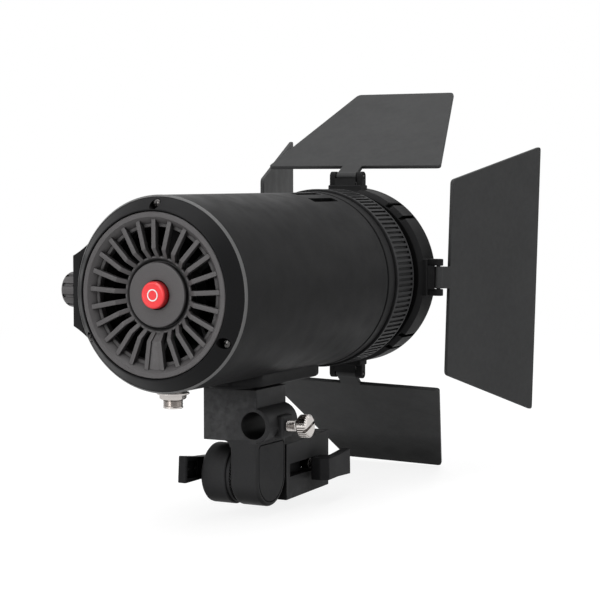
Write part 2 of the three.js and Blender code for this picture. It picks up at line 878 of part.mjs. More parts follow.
// The barn-door ring: a grooved ring with four pairs of hinge lugs, turning on the front tube.
function hingeLugs() {
  const outerFace = hinge.width / 2;
  const base = ringOuter - hinge.padHeight;
  const side = new THREE.Shape();
  side.moveTo(hingeAhead - hinge.lugRadius, base);
  side.lineTo(hingeAhead - hinge.lugRadius, hingeRadius);
  side.absarc(hingeAhead, hingeRadius, hinge.lugRadius, Math.PI, 0, true);
  side.lineTo(hingeAhead + hinge.lugRadius, base);
  side.closePath();
  const lugs = [outerFace, hinge.lugWidth - outerFace].map((x) =>
    plate("across", side, x, hinge.lugWidth),
  );
  const reach = hinge.lugRadius + hinge.padReach;
  const pad = brick(
    [-outerFace, outerFace],
    [hingeAhead - reach, hingeAhead + reach],
    [base, ringOuter + hinge.padHeight / 2],
  );
  const hole = rodAcross(
    hinge.pinRadius + gap,
    -outerFace - past,
    outerFace + past,
    hingeAhead,
    hingeRadius,
    holeFacets,
  );
  return cut(join(pad, ...lugs), hole);
}

function barndoorRing() {
  const bore = tubeRadius + gap;
  const turned = revolve([
    [bore, ringStart],
    [ringOuter - ring.rearDrop, ringStart],
    [ringOuter, ringStart + ring.rearSlope],
    [ringOuter, ringEnd - ring.edge],
    [ringOuter - ring.edge, ringEnd],
    [tubeBore - ring.lipWidth, ringEnd],
    [tubeBore - ring.lipWidth, lipStart],
    [bore, lipStart],
  ]);
  const notches = [0, 180].flatMap((base) =>
    [-1, 1].flatMap((side) =>
      [-1, 1].map((edge) => {
        const angle = base + side * (notch.fromVertical + edge * notch.halfSpan);
        const slot = brick(
          [-notch.width / 2, notch.width / 2],
          [ringStart - past, ringStart + notch.length],
          [ringOuter - notch.depth, ringOuter + past],
        );
        return aroundBeam(slot, angle);
      }),
    ),
  );
  const lugs = doors.map(({ around }) => aroundBeam(hingeLugs(), around));
  return cut(join(turned, ...lugs), ...notches);
}

function hingePin(around) {
  const half = hinge.width / 2;
  const pin = rodAcross(hinge.pinRadius, -half, half, hingeAhead, hingeRadius, holeFacets);
  return aroundBeam(pin, around);
}

// One door leaf: a sheet with a neck and a rolled knuckle, splayed about its hinge. It is drawn
// lying ahead of the hinge, leans out by its splay, and may droop in the hinge's play.
function doorLeaf({ around, splay, outerWidth, droop }) {
  const knuckle = hinge.width / 2 - hinge.lugWidth - gap;
  const inner = leaf.innerWidth / 2;
  const outer = outerWidth / 2;
  const sheet = outline(
    [
      [-knuckle, 0],
      [knuckle, 0],
      [knuckle, leaf.inner],
      [inner, leaf.inner],
      [outer, leaf.outer],
      [-outer, leaf.outer],
      [-inner, leaf.inner],
      [-knuckle, leaf.inner],
    ],
    [0, 0, 0, leaf.corner, leaf.corner, leaf.corner, leaf.corner, 0],
  );
  const flat = plate("down", sheet, leaf.rise, leaf.thickness);
  const roll = rodAcross(hinge.knuckleRadius, -knuckle, knuckle, 0, 0, holeFacets);
  const hole = rodAcross(hinge.pinRadius + gap, -knuckle - past, knuckle + past, 0, 0, holeFacets);
  const made = cut(join(flat, roll), hole);
  made.rotateZ(degrees(droop)).rotateX(degrees(-splay)).translate(0, -hingeAhead, hingeRadius);
  return aroundBeam(made, around);
}

// The control pod's knob, button, display and board.
const boardFace = podFace - pod.wall - board.setback;

function controlBoard() {
  const half = pod.halfHeight - pod.wall - gap;
  const ahead = [podCavityStart + gap, pod.start + pod.length - pod.noseRun - gap];
  const slab = brick([boardFace - board.thickness, boardFace], ahead, [-half, half]);
  const encoderEnd = podFace - pod.wall - gap;
  const encoder = rodAcross(board.encoderRadius, boardFace - gap, encoderEnd, knob.ahead, 0);
  const well = rodAcross(knob.shaftRadius + gap, boardFace, encoderEnd + past, knob.ahead, 0);
  return cut(join(slab, encoder), well);
}

function dimmerKnob() {
  const foot = podFace + gap;
  const rimX = foot + knob.height - knob.crown;
  const top = foot + knob.height;
  const crown = Array.from({ length: cornerSteps + 1 }, (_, i) => {
    const turn = (Math.PI / 2) * (i / cornerSteps);
    return [knob.radius - knob.crown + knob.crown * Math.cos(turn), rimX + knob.crown * Math.sin(turn)];
  });
  const profile = [
    [0, boardFace + gap],
    [knob.shaftRadius, boardFace + gap],
    [knob.shaftRadius, foot],
    [knob.radius, foot],
    ...crown,
    [0, top],
  ];
  const turned = revolve(profile, midFacets).rotateZ(Math.PI / 2).translate(0, -knob.ahead, 0);
  const flutes = Array.from({ length: knob.flutes }, (_, i) => {
    const turn = (2 * Math.PI * i) / knob.flutes;
    const [ahead, z] = [knob.radius * Math.sin(turn), knob.radius * Math.cos(turn)];
    return rodAcross(knob.fluteRadius, foot - past, rimX, knob.ahead + ahead, z, hexSides);
  });
  return cut(turned, ...flutes);
}

function modeButtonCap() {
  const foot = boardFace + gap + modeButton.travel;
  const shoulder = podFace - pod.wall - gap;
  const profile = [
    [0, foot],
    [modeButton.flangeRadius, foot],
    [modeButton.flangeRadius, shoulder],
    [modeButton.radius, shoulder],
    [modeButton.radius, podFace + modeButton.standOut - modeButton.edge],
    [modeButton.radius - modeButton.edge, podFace + modeButton.standOut],
    [0, podFace + modeButton.standOut],
  ];
  const turned = revolve(profile, smallFacets).rotateZ(Math.PI / 2);
  return turned.translate(0, -modeButton.ahead, 0);
}

function displayWindow() {
  const x = [podFace - display.thickness + gap, podFace];
  const ahead = [display.start, display.start + display.length];
  return brick(x, ahead, [-display.halfHeight, display.halfHeight]);
}

// The power inlet under the barrel, and its nut with a washer face.
function dcJack() {
  const foot = -barrel.rearRadius - jack.standOut;
  const body = rodUp(jack.radius, foot, foot + jack.length, 0, jack.ahead);
  const floor = foot + jack.socketDepth;
  const well = rodUp(jack.socketRadius, foot - past, floor, 0, jack.ahead, holeFacets);
  const pin = rodUp(jack.pinRadius, foot + past, floor + past, 0, jack.ahead, holeFacets);
  return join(cut(body, well), pin);
}

function jackNut() {
  const top = -barrel.rearRadius - gap;
  const washer = rodUp(nut.washerRadius, top - nut.washerHeight, top, 0, jack.ahead);
  const foot = top - nut.washerHeight - nut.height;
  const hex = rodUp(nut.acrossCorners / 2, foot, top - nut.washerHeight / 2, 0, jack.ahead, hexSides);
  const hole = rodUp(jack.radius + gap, foot - past, top + past, 0, jack.ahead);
  return cut(join(washer, hex), hole);
}

const umbrellaZ = umbrella.aboveTilt - belowBeam;
const thumbZ = thumb.aboveTilt - belowBeam;
const thumbPivot = (-umbrella.padReach + umbrella.x - umbrella.holeRadius) / 2;

// The bracket, one casting: the neck under the saddle, the umbrella tube, and the tilt arm.
function bracketBody() {
  const half = neck.width / 2;
  const front = outline(
    [
      [half, -saddleFace - gap],
      [half, neck.shoulder - belowBeam],
      [arm.inner, neck.shoulder - belowBeam],
      [arm.inner, -belowBeam - armRadius],
      [arm.outer, -belowBeam - armRadius],
      [arm.outer, -saddleFace - gap],
    ],
    [0, 0, neck.fillet, 0, 0, 0],
  );
  const near = tilt.aheadOfRear - armRadius;
  const far = tilt.aheadOfRear + armRadius;
  const side = new THREE.Shape();
  side.moveTo(near, 0);
  side.lineTo(near, -belowBeam);
  side.absarc(tilt.aheadOfRear, -belowBeam, armRadius, Math.PI, 2 * Math.PI, false);
  side.lineTo(far, 0);
  side.closePath();
  const flanks = new THREE.ExtrudeGeometry(side, {
    depth: neck.width + 2 * past,
    bevelEnabled: false,
    curveSegments: smallFacets,
  });
  flanks.translate(0, 0, -half - past).applyMatrix4(along.across);
  const casting = common(plate("ahead", front, near - past, neck.depth + 2 * past), flanks);
  const centre = [umbrella.x, umbrellaZ];
  const tubeBody = rodAhead(umbrella.holeRadius + umbrella.wall, near, far, ...centre, midFacets);
  const padHalf = umbrella.padHeight / 2;
  const pad = brick(
    [-umbrella.padReach, umbrella.x],
    [tilt.aheadOfRear - padHalf, tilt.aheadOfRear + padHalf],
    [thumbZ - padHalf, thumbZ + padHalf],
  );
  const hole = rodAhead(umbrella.holeRadius, near - past, far + past, ...centre, midFacets);
  const thread = rodAcross(
    thumb.shankRadius + gap,
    -umbrella.padReach - past,
    umbrella.x,
    tilt.aheadOfRear,
    thumbZ,
    holeFacets,
  );
  const at = [tilt.aheadOfRear, -belowBeam];
  const boltHole = rodAcross(armBolt.radius + gap, arm.outer, arm.inner + past, ...at);
  const headFloor = arm.outer + cover.depth + gap + armBolt.headHeight + gap;
  const headHole = rodAcross(armBolt.headRadius + gap, arm.outer, headFloor, ...at);
  const recessDepth = cover.depth + gap;
  const recess = plate("across", coverOutline(gap), arm.outer + recessDepth, recessDepth + past);
  const screwHoles = bracketScrewAheads.map((ahead) =>
    rodUp(
      bracketScrew.shankRadius + gap,
      -saddleFace - bracketScrew.depth,
      -saddleFace + past,
      0,
      ahead,
      holeFacets,
    ),
  );
  return cut(join(casting, tubeBody, pad), hole, thread, boltHole, headHole, recess, ...screwHoles);
}

// The arm's cover is flat on top and round below; the recess is the same outline, let out.
function coverOutline(out) {
  const half = cover.halfWidth + out;
  const top = out + cover.rise - belowBeam;
  const shape = new THREE.Shape();
  shape.moveTo(tilt.aheadOfRear + half - cover.corner, top);
  shape.lineTo(tilt.aheadOfRear - half + cover.corner, top);
  shape.lineTo(tilt.aheadOfRear - half, top - cover.corner);
  shape.lineTo(tilt.aheadOfRear - half, -belowBeam);
  const steps = 4 * cornerSteps;
  for (let i = 1; i <= steps; i += 1) {
    const turn = Math.PI * (1 + i / steps);
    const drop = (cover.bottomRadius + out) * Math.sin(turn);
    shape.lineTo(tilt.aheadOfRear + half * Math.cos(turn), drop - belowBeam);
  }
  shape.lineTo(tilt.aheadOfRear + half, top - cover.corner);
  shape.closePath();
  return shape;
}

const armCover = () => plate("across", coverOutline(0), arm.outer + cover.depth, cover.depth);

function tiltBolt() {
  const at = [tilt.aheadOfRear, -belowBeam];
  const headStart = arm.outer + cover.depth + 2 * gap;
  const headEnd = headStart + armBolt.headHeight - gap;
  const head = rodAcross(armBolt.headRadius, headStart, headEnd, ...at, hexSides);
  const shank = rodAcross(armBolt.radius, headStart + past, ear.outer - ear.seatDepth, ...at);
  return join(head, shank);
}

function bracketScrewPiece(ahead) {
  const top = -boreRadius - gap;
  const seat = top - bracketScrew.headHeight + gap;
  const head = rodUp(bracketScrew.headRadius, seat, top, 0, ahead);
  const foot = -saddleFace - bracketScrew.depth + gap;
  const shank = rodUp(bracketScrew.shankRadius, foot, seat + past, 0, ahead, holeFacets);
  return join(head, shank);
}

// The thumb screw that clamps an umbrella shaft, with a knurled and slotted head. It leans a little
// in the play of its thread.
function umbrellaScrew() {
  const at = [tilt.aheadOfRear, thumbZ];
  const shoulder = -umbrella.padReach - thumb.shankShown;
  const end = shoulder - thumb.headLength;
  const tip = umbrella.x - umbrella.holeRadius - gap;
  const shank = rodAcross(thumb.shankRadius, shoulder - past, tip, ...at);
  const shape = new THREE.Shape();
  const radii = [thumb.headRadius, thumb.headRadius - thumb.knurlDepth];
  for (let i = 0; i < 2 * thumb.knurls; i += 1) {
    const turn = (Math.PI * i) / thumb.knurls;
    const [ahead, z] = [radii[i % 2] * Math.cos(turn), radii[i % 2] * Math.sin(turn)];
    if (i === 0) shape.moveTo(at[0] + ahead, at[1] + z);
    else shape.lineTo(at[0] + ahead, at[1] + z);
  }
  shape.closePath();
  const head = plate("across", shape, shoulder, thumb.headLength);
  const reach = thumb.headRadius + past;
  const slot = brick(
    [end - past, end + thumb.slotDepth],
    [-reach, reach],
    [-thumb.slotWidth / 2, thumb.slotWidth / 2],
  );
  slot.rotateX(degrees(-thumb.slotTurn)).translate(0, -at[0], at[1]);
  const pivot = [thumbPivot, -at[0], at[1]];
  const made = cut(join(shank, head), slot).translate(...pivot.map((value) => -value));
  return made.rotateY(degrees(thumb.lean)).translate(...pivot);
}

// The stand adapter: a block with the socket for a stand's spigot, and the toothed ear that the
// bracket's arm tilts against.
const tiltBack = -tilt.behindMouth;
const setScrewBehind = blockLength - setScrew.fromBack;

function receiverBody() {
  const { halfWidth, halfHeight, edge } = block;
  const shape = outline(
    [
      [halfWidth, -halfHeight],
      [halfWidth, halfHeight],
      [-halfWidth, halfHeight],
      [-halfWidth, -halfHeight],
    ],
    edge,
  );
  const body = plate("ahead", shape, -blockLength, blockLength);
  const web = brick([ear.inner, halfWidth], [tiltBack, past - blockLength], [-halfHeight, halfHeight]);
  const disc = rodAcross(armRadius, ear.inner, ear.outer, tiltBack, 0, midFacets);
  const toothStart = arm.inner + gap;
  const half = (Math.PI / ear.teeth) * ear.toothShare;
  const teeth = Array.from({ length: ear.teeth }, (_, i) => {
    const turn = (2 * Math.PI * i) / ear.teeth;
    const corners = [
      [ear.toothHole, turn - half],
      [ear.toothRadius, turn - half],
      [ear.toothRadius, turn + half],
      [ear.toothHole, turn + half],
    ];
    const tooth = outline(
      corners.map(([radius, angle]) => [tiltBack + radius * Math.cos(angle), radius * Math.sin(angle)]),
    );
    return plate("across", tooth, ear.inner + past, ear.inner + past - toothStart);
  });
  const flat = (toothStart + ear.inner) / 2;
  const bedRadius = ear.toothRadius + ear.bedRim;
  const toothBed = rodAcross(bedRadius, flat, ear.inner + past, tiltBack, 0, midFacets);
  const boltHole = rodAcross(armBolt.radius + gap, arm.inner - past, ear.outer + past, tiltBack, 0);
  const bore = rodAhead(socket.radius, -socket.depth, past, 0, 0, midFacets);
  const leverHole = rodAcross(
    lever.shankRadius + gap,
    -halfWidth - past,
    0,
    -standLever.behind,
    standLever.z,
  );
  const bandStart = blockLength - band.start;
  const bandCut = brick(
    [-halfWidth - past, band.depth - halfWidth],
    [-bandStart, band.length - bandStart],
    [-band.height / 2, band.height / 2],
  );
  const screwHole = rodUp(
    setScrew.shankRadius + gap,
    -halfHeight - past,
    0,
    setScrew.x,
    -setScrewBehind,
    holeFacets,
  );
  const leverSeat = [ear.outer - ear.seatDepth, ear.outer + past];
  const leverBed = rodAcross(ear.seatRadius, ...leverSeat, tiltBack, 0, midFacets);
  const whole = join(body, web, disc, toothBed, ...teeth);
  return cut(whole, boltHole, leverBed, bore, leverHole, bandCut, screwHole);
}

function receiverScrew() {
  const seat = -block.halfHeight - gap;
  const at = [setScrew.x, -setScrewBehind];
  const head = rodUp(setScrew.headRadius, seat - setScrew.headShown, seat, ...at);
  const tip = -socket.radius - gap;
  const shank = rodUp(setScrew.shankRadius, seat - setScrew.headShown / 2, tip, ...at, holeFacets);
  const reach = setScrew.headRadius + past;
  const slot = brick(
    [at[0] - reach, at[0] + reach],
    [at[1] - thumb.slotWidth / 2, at[1] + thumb.slotWidth / 2],
    [seat - setScrew.headShown - past, seat - setScrew.headShown / 2],
  );
  return cut(join(head, shank), slot);
}

// Both clamp levers: a moulded handle, hollow inside, on a threaded shank. The handle is drawn in
// the (x, ahead) plane with the pivot at zero, its shank towards +X, and lies to one side of it.
function clampLever(shankLength, offset) {
  const { standOff, standOut, behindPivot, chamfer, hub, kink, reach } = lever;
  const under = lever.thickness - standOut;
  const plan = outline(
    [
      [-standOff, -behindPivot],
      [-standOff, hub],
      [under, kink],
      [under, reach],
      [-standOut, reach],
      [-standOut, chamfer[1] - behindPivot],
      [chamfer[0] - standOut, -behindPivot],
    ],
    [0, 0, 0, lever.corner, lever.corner, lever.corner, 0],
  );
  const half = lever.height / 2;
  const handle = plate("down", plan, offset + half, lever.height);
  const pocket = brick(
    [under - lever.pocketDepth, under + past],
    [kink + lever.pocketRim, reach - lever.pocketRim],
    [offset - half + lever.pocketRim, offset + half - lever.pocketRim],
  );
  const shank = rodAcross(lever.shankRadius, -standOff - past, shankLength, 0, 0);
  return join(cut(handle, pocket), shank);
}

function standClampLever() {
  const made = clampLever(block.halfWidth - socket.radius - gap, -lever.offset);
  return made.translate(-block.halfWidth, standLever.behind, standLever.z);
}

function tiltClampLever() {
  const made = clampLever(-gap, lever.offset).rotateZ(Math.PI).rotateX(degrees(tiltLeverRaised));
  return made.translate(ear.outer - ear.seatDepth, tilt.behindMouth, 0);
}

// The whole light.
const adapter = new THREE.Group();
piece(adapter, "receiver_body", receiverBody(), castBlack);
piece(adapter, "receiver_screw", receiverScrew(), blackNickel);
piece(adapter, "stand_lever", standClampLever(), castBlack);
piece(adapter, "tilt_lever", tiltClampLever(), castBlack);

const light = new THREE.Group();
light.position.set(0, tilt.behindMouth + tilt.aheadOfRear, belowBeam);
piece(light, "barrel_housing", barrelHousing(), satinBlack);
piece(light, "rear_bezel", rearBezel(), satinBlack);
piece(light, "rear_grille", rearGrille(), greyPlastic);
["top", "right", "left"].forEach((place, i) => {
  piece(light, `bezel_screw_${place}`, bezelScrew(screwAngles[i]), blackNickel);
});
piece(light, "power_button", powerButton(), redPlastic);
piece(light, "power_switch", switchBody(), blackPlastic);
piece(light, "fan_frame", fanFrame(), blackPlastic);
piece(light, "fan_rotor", fanRotor(), blackPlastic);
piece(light, "driver_board", driverBoard(), boardGreen);
piece(light, "heat_sink", heatSink(), aluminium);
piece(light, "cob_board", cobBoard(), aluminium);
piece(light, "cob_emitter", cobEmitter(), phosphor);
piece(light, "cob_holder", cobHolder(), blackPlastic);
piece(light, "control_board", controlBoard(), boardGreen);
piece(light, "dimmer_knob", dimmerKnob(), greyPlastic);
piece(light, "mode_button", modeButtonCap(), greyPlastic);
piece(light, "display_window", displayWindow(), darkGlass);
piece(light, "dc_jack", dcJack(), nickel);
piece(light, "jack_nut", jackNut(), nickel);
piece(light, "front_tube", frontTube(), satinBlack);
piece(light, "focus_ring", focusRing(), blackPlastic);
piece(light, "lens_holder", lensHolder(), blackPlastic);
piece(light, "lens", lensGlass(), glass);
piece(light, "barndoor_ring", barndoorRing(), satinBlack);
doors.forEach((door) => {
  piece(light, `hinge_pin_${door.side}`, hingePin(door.around), blackNickel);
  piece(light, `door_leaf_${door.side}`, doorLeaf(door), sheetBlack);
});
piece(light, "bracket", bracketBody(), castBlack);
piece(light, "arm_cover", armCover(), blackPlastic);
piece(light, "tilt_bolt", tiltBolt(), blackNickel);
["rear", "front"].forEach((place, i) => {
  piece(light, `bracket_screw_${place}`, bracketScrewPiece(bracketScrewAheads[i]), blackNickel);
});
piece(light, "umbrella_screw", umbrellaScrew(), nickel);

const videoLight = new THREE.Group();
videoLight.add(adapter, light);

export default videoLight;
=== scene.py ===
from math import cos, pi, radians, sin, tan

import bpy
from mathutils import Matrix, Vector


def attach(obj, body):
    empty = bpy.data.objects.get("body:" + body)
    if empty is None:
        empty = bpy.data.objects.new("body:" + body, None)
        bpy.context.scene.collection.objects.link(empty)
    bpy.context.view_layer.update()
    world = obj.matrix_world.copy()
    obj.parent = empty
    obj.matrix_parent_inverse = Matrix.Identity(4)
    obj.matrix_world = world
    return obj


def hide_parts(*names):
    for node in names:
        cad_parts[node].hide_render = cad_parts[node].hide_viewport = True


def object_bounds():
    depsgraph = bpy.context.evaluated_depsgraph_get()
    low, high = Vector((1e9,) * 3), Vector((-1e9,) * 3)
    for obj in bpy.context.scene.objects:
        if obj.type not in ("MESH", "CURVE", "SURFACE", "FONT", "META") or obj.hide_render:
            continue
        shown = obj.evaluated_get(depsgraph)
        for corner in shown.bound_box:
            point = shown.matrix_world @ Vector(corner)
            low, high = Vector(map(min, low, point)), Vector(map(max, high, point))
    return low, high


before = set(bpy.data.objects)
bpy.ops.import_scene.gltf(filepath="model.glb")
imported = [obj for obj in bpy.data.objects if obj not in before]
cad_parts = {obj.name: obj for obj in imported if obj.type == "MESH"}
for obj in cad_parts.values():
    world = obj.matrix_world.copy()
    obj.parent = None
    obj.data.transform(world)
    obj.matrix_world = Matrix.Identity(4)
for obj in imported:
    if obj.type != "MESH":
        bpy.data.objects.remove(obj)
cad_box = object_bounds()
mm = 0.001

scene = bpy.context.scene
scene.view_settings.view_transform = "Standard"

camera_place = Vector((-352.3, 677.6, 119.1))
look_turn, look_down = radians(27.55), radians(3.78)
look = Vector((sin(look_turn) * cos(look_down), -cos(look_turn) * cos(look_down), -sin(look_down)))
bpy.ops.object.camera_add(
    location=camera_place * mm, rotation=look.to_track_quat("-Z", "Y").to_euler()
)
scene.camera = bpy.context.object
scene.camera.data.lens = 105.66
scene.camera.data.sensor_width = 36


def in_sight(nodes, links):
    """One where the camera looks, also past glass or in a reflection, and zero for soft light."""
    rays = nodes.new("ShaderNodeLightPath")
    seen = rays.outputs["Is Camera Ray"]
    for kind in ("Is Glossy Ray", "Is Transmission Ray"):
        either = nodes.new("ShaderNodeMath")
        either.operation = "MAXIMUM"
        links.new(seen, either.inputs[0])
        links.new(rays.outputs[kind], either.inputs[1])
        seen = either.outputs[0]
    return seen


# Near the light the floor takes its shadow, and it fades to plain white farther off.
shadow_grey, near_glow, bounce_grey = 0.25, 0.85, 0.75
fade_start, fade_end = 0.15, 0.9
floor_paint = bpy.data.materials.new("floor_paint")
floor_paint.use_nodes = True
nodes, links = floor_paint.node_tree.nodes, floor_paint.node_tree.links
nodes.clear()
shadowed = nodes.new("ShaderNodeBsdfDiffuse")
shadowed.inputs["Color"].default_value = (shadow_grey, shadow_grey, shadow_grey, 1)
glow = nodes.new("ShaderNodeEmission")
glow.inputs["Strength"].default_value = near_glow
near = nodes.new("ShaderNodeAddShader")
far = nodes.new("ShaderNodeEmission")
place = nodes.new("ShaderNodeTexCoord")
distance = nodes.new("ShaderNodeVectorMath")
distance.operation = "LENGTH"
fade = nodes.new("ShaderNodeMapRange")
fade.interpolation_type = "SMOOTHSTEP"
fade.inputs["From Min"].default_value = fade_start
fade.inputs["From Max"].default_value = fade_end
pale = nodes.new("ShaderNodeMixShader")
bounce = nodes.new("ShaderNodeBsdfDiffuse")
bounce.inputs["Color"].default_value = (bounce_grey, bounce_grey, bounce_grey, 1)
choose = nodes.new("ShaderNodeMixShader")
links.new(shadowed.outputs[0], near.inputs[0])
links.new(glow.outputs[0], near.inputs[1])
links.new(place.outputs["Object"], distance.inputs[0])
links.new(distance.outputs["Value"], fade.inputs["Value"])
links.new(fade.outputs["Result"], pale.inputs[0])
links.new(near.outputs[0], pale.inputs[1])
links.new(far.outputs[0], pale.inputs[2])
links.new(in_sight(nodes, links), choose.inputs[0])
links.new(bounce.outputs[0], choose.inputs[1])
links.new(pale.outputs[0], choose.inputs[2])
links.new(choose.outputs[0], nodes.new("ShaderNodeOutputMaterial").inputs[0])

floor_size, floor_gap = 60, 0.3 * mm
bpy.ops.mesh.primitive_plane_add(size=floor_size, location=(0, 0, cad_box[0].z - floor_gap))
floor = bpy.context.object
floor.name = "floor"
floor.data.materials.append(floor_paint)

room_strength = 0.18
backdrop = bpy.data.worlds.new("backdrop")
scene.world = backdrop
backdrop.use_nodes = True
nodes, links = backdrop.node_tree.nodes, backdrop.node_tree.links
nodes.clear()
white = nodes.new("ShaderNodeBackground")
white.inputs["Color"].default_value = (1, 1, 1, 1)
room = nodes.new("ShaderNodeBackground")
room.inputs["Color"].default_value = (1, 1, 1, 1)
room.inputs["Strength"].default_value = room_strength
choose = nodes.new("ShaderNodeMixShader")
links.new(in_sight(nodes, links), choose.inputs[0])
links.new(room.outputs[0], choose.inputs[1])
links.new(white.outputs[0], choose.inputs[2])
links.new(choose.outputs[0], nodes.new("ShaderNodeOutputWorld").inputs[0])

middle_of_light = Vector((0, 0.04, 0.08))
for name, place, size, watts in (
    ("top_softbox", (0.1, -0.1, 1.7), 1.4, 17),
    ("rear_top_softbox", (-0.2, 1.0, 1.4), 1.0, 10),
    ("rear_softbox", (0.9, 1.3, 0.8), 1.1, 5),
    ("low_rear_softbox", (0.3, 1.6, 0.35), 0.7, 8),
    ("side_softbox", (-1.7, -0.1, 0.6), 1.2, 3),
    ("front_softbox", (-1.2, -1.2, 0.7), 1.0, 3),
):
    aim = middle_of_light - Vector(place)
    bpy.ops.object.light_add(
        type="AREA", location=place, rotation=aim.to_track_quat("-Z", "Y").to_euler()
    )
    lamp = bpy.context.object
    lamp.name = name
    lamp.data.size = size
    lamp.data.energy = watts


# The stand adapter is one die casting under black paint: a block bored for a stand's spigot, and
# an ear with a ring of fine teeth that keeps the arm at its angle. It is drawn, cut and broken at
# its edges as the casting is.
ways = {"X": (1, 0, 0), "Y": (0, 1, 0), "Z": (0, 0, 1)}
weld_gap = 0.002 * mm
cut_weld_gap = 0.005 * mm


def alone(piece):
    bpy.ops.object.select_all(action="DESELECT")
    piece.select_set(True)
    bpy.context.view_layer.objects.active = piece


def drawn(name, points):
    """A chain of edges through these points, left open for editing."""
    bpy.ops.object.select_all(action="DESELECT")
    bpy.ops.mesh.primitive_plane_add(size=mm, location=Vector(points[0]) * mm)
    piece = bpy.context.object
    piece.name = name
    bpy.ops.object.mode_set(mode="EDIT")
    bpy.ops.mesh.merge(type="CENTER")
    for here, there in zip(points, points[1:]):
        step = (Vector(there) - Vector(here)) * mm
        bpy.ops.mesh.extrude_vertices_move(TRANSFORM_OT_translate={"value": step})
    bpy.ops.mesh.select_all(action="SELECT")
    return piece


def closed_up(piece):
    """Merges what meets, turns the faces outwards and puts the origin at zero."""
    bpy.ops.mesh.select_all(action="SELECT")
    bpy.ops.mesh.remove_doubles(threshold=weld_gap)
    bpy.ops.mesh.normals_make_consistent(inside=False)
    bpy.ops.object.mode_set(mode="OBJECT")
    alone(piece)
    bpy.ops.object.transform_apply(location=True, rotation=True, scale=True)
    return piece


def plate(name, points, push):
    """A flat outline pushed into a solid."""
    piece = drawn(name, [*points, points[0]])
    bpy.ops.mesh.remove_doubles(threshold=weld_gap)
    bpy.ops.mesh.edge_face_add()
    bpy.ops.mesh.extrude_region_move(TRANSFORM_OT_translate={"value": Vector(push) * mm})
    return closed_up(piece)


def beside(centre, axis, radius, along):
    """The point at this radius over an axis, or beside an upright one, and this far along it."""
    x, y, z = centre
    if axis == "Z":
        return (x + radius, y, z + along)
    if axis == "Y":
        return (x, y + along, z + radius)
    return (x + along, y, z + radius)


def spun(name, centre, axis, section, steps):
    """A half section of (radius, along) pairs spun about an axis through a centre. A section that
    doesn't start on the axis closes on itself."""
    points = [beside(centre, axis, radius, along) for radius, along in section]
    if section[0][0] > 0:
        points.append(points[0])
    piece = drawn(name, points)
    bpy.ops.mesh.spin(steps=steps, angle=2 * pi, center=Vector(centre) * mm, axis=ways[axis])
    return closed_up(piece)


def rod(start, end, radius, sides=48):
    way = Vector(end) - Vector(start)
    bpy.ops.object.select_all(action="DESELECT")
    bpy.ops.mesh.primitive_cylinder_add(
        vertices=sides,
        radius=radius * mm,
        depth=way.length * mm,
        location=(Vector(start) + Vector(end)) / 2 * mm,
        rotation=way.to_track_quat("Z", "Y").to_euler(),
    )
    bpy.ops.object.transform_apply(location=True, rotation=True, scale=True)
    return bpy.context.object


def cross_rod(left, right, centre, radius, sides=48):
    """A rod from one side to the other, at the depth and height of a centre."""
    y, z = centre[1:]
    return rod((left, y, z), (right, y, z), radius, sides)


def block(low, high):
    bpy.ops.object.select_all(action="DESELECT")
    bpy.ops.mesh.primitive_cube_add(
        size=mm,
        location=(Vector(low) + Vector(high)) / 2 * mm,
        scale=Vector(high) - Vector(low),
    )
    bpy.ops.object.transform_apply(location=True, rotation=True, scale=True)
    return bpy.context.object


def worked(piece, others, way="DIFFERENCE"):
    """Cuts the others out of a piece, or joins them on, and clears them away."""
    for other in others:
        change = piece.modifiers.new("change", "BOOLEAN")
        change.operation = way
        change.solver = "EXACT"
        change.object = other
        alone(piece)
        bpy.ops.object.modifier_apply(modifier=change.name)
        bpy.data.objects.remove(other)
    bpy.ops.object.mode_set(mode="EDIT")
    bpy.ops.mesh.select_all(action="SELECT")
    bpy.ops.mesh.remove_doubles(threshold=cut_weld_gap)
    bpy.ops.mesh.dissolve_limited(angle_limit=radians(0.1))
    bpy.ops.object.mode_set(mode="OBJECT")
    return piece


def shaded(piece, sharp=40):
    """Smooth over gentle turns and crisp over sharp ones."""
    alone(piece)
    bpy.ops.object.shade_smooth_by_angle(angle=radians(sharp))
    even = piece.modifiers.new("even shading", "WEIGHTED_NORMAL")
    even.keep_sharp = True
    bpy.ops.object.modifier_apply(modifier=even.name)
    return piece


def broken_edges(piece, width, segments=2, sharpest=32):
    """Rounds every edge that turns more than this many degrees."""
    alone(piece)
    bevel = piece.modifiers.new("broken edges", "BEVEL")
    bevel.width = width * mm
    bevel.segments = segments
    bevel.limit_method = "ANGLE"
    bevel.angle_limit = radians(sharpest)
    bpy.ops.object.modifier_apply(modifier=bevel.name)
    return shaded(piece)


def copied(piece, matrix):
    """A copy with its own mesh, turned or moved by a matrix."""
    twin = piece.copy()
    twin.data = piece.data.copy()
    scene.collection.objects.link(twin)
    twin.data.transform(matrix)
    return twin


def repeated(piece, matrices):
    """A copy at each of these places, in place of the piece itself."""
    copies = [copied(piece, matrix) for matrix in matrices]
    bpy.data.objects.remove(piece)
    return copies


def moved(way):
    return Matrix.Translation(Vector(way) * mm)


def turned_about(centre, axis, angle):
    here = moved(centre)
    return here @ Matrix.Rotation(angle, 4, Vector(ways[axis])) @ here.inverted()


def welded(pieces, name):
    """Makes one object of several."""
    bpy.ops.object.select_all(action="DESELECT")
    for piece in pieces:
        piece.select_set(True)
    bpy.context.view_layer.objects.active = pieces[0]
    bpy.ops.object.join()
    pieces[0].name = name
    return pieces[0]


def fitted(piece, name, body, finish, slot, *stands_for):
    """Names a piece, gives it a finish and a moving body, and hides the nodes that it stands for.
    The slot is not used.
    """
    piece.name = name
    piece.data.materials.clear()
    piece.data.materials.append(finish)
    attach(piece, body)
    if stands_for:
        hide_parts(*stands_for)
    return piece


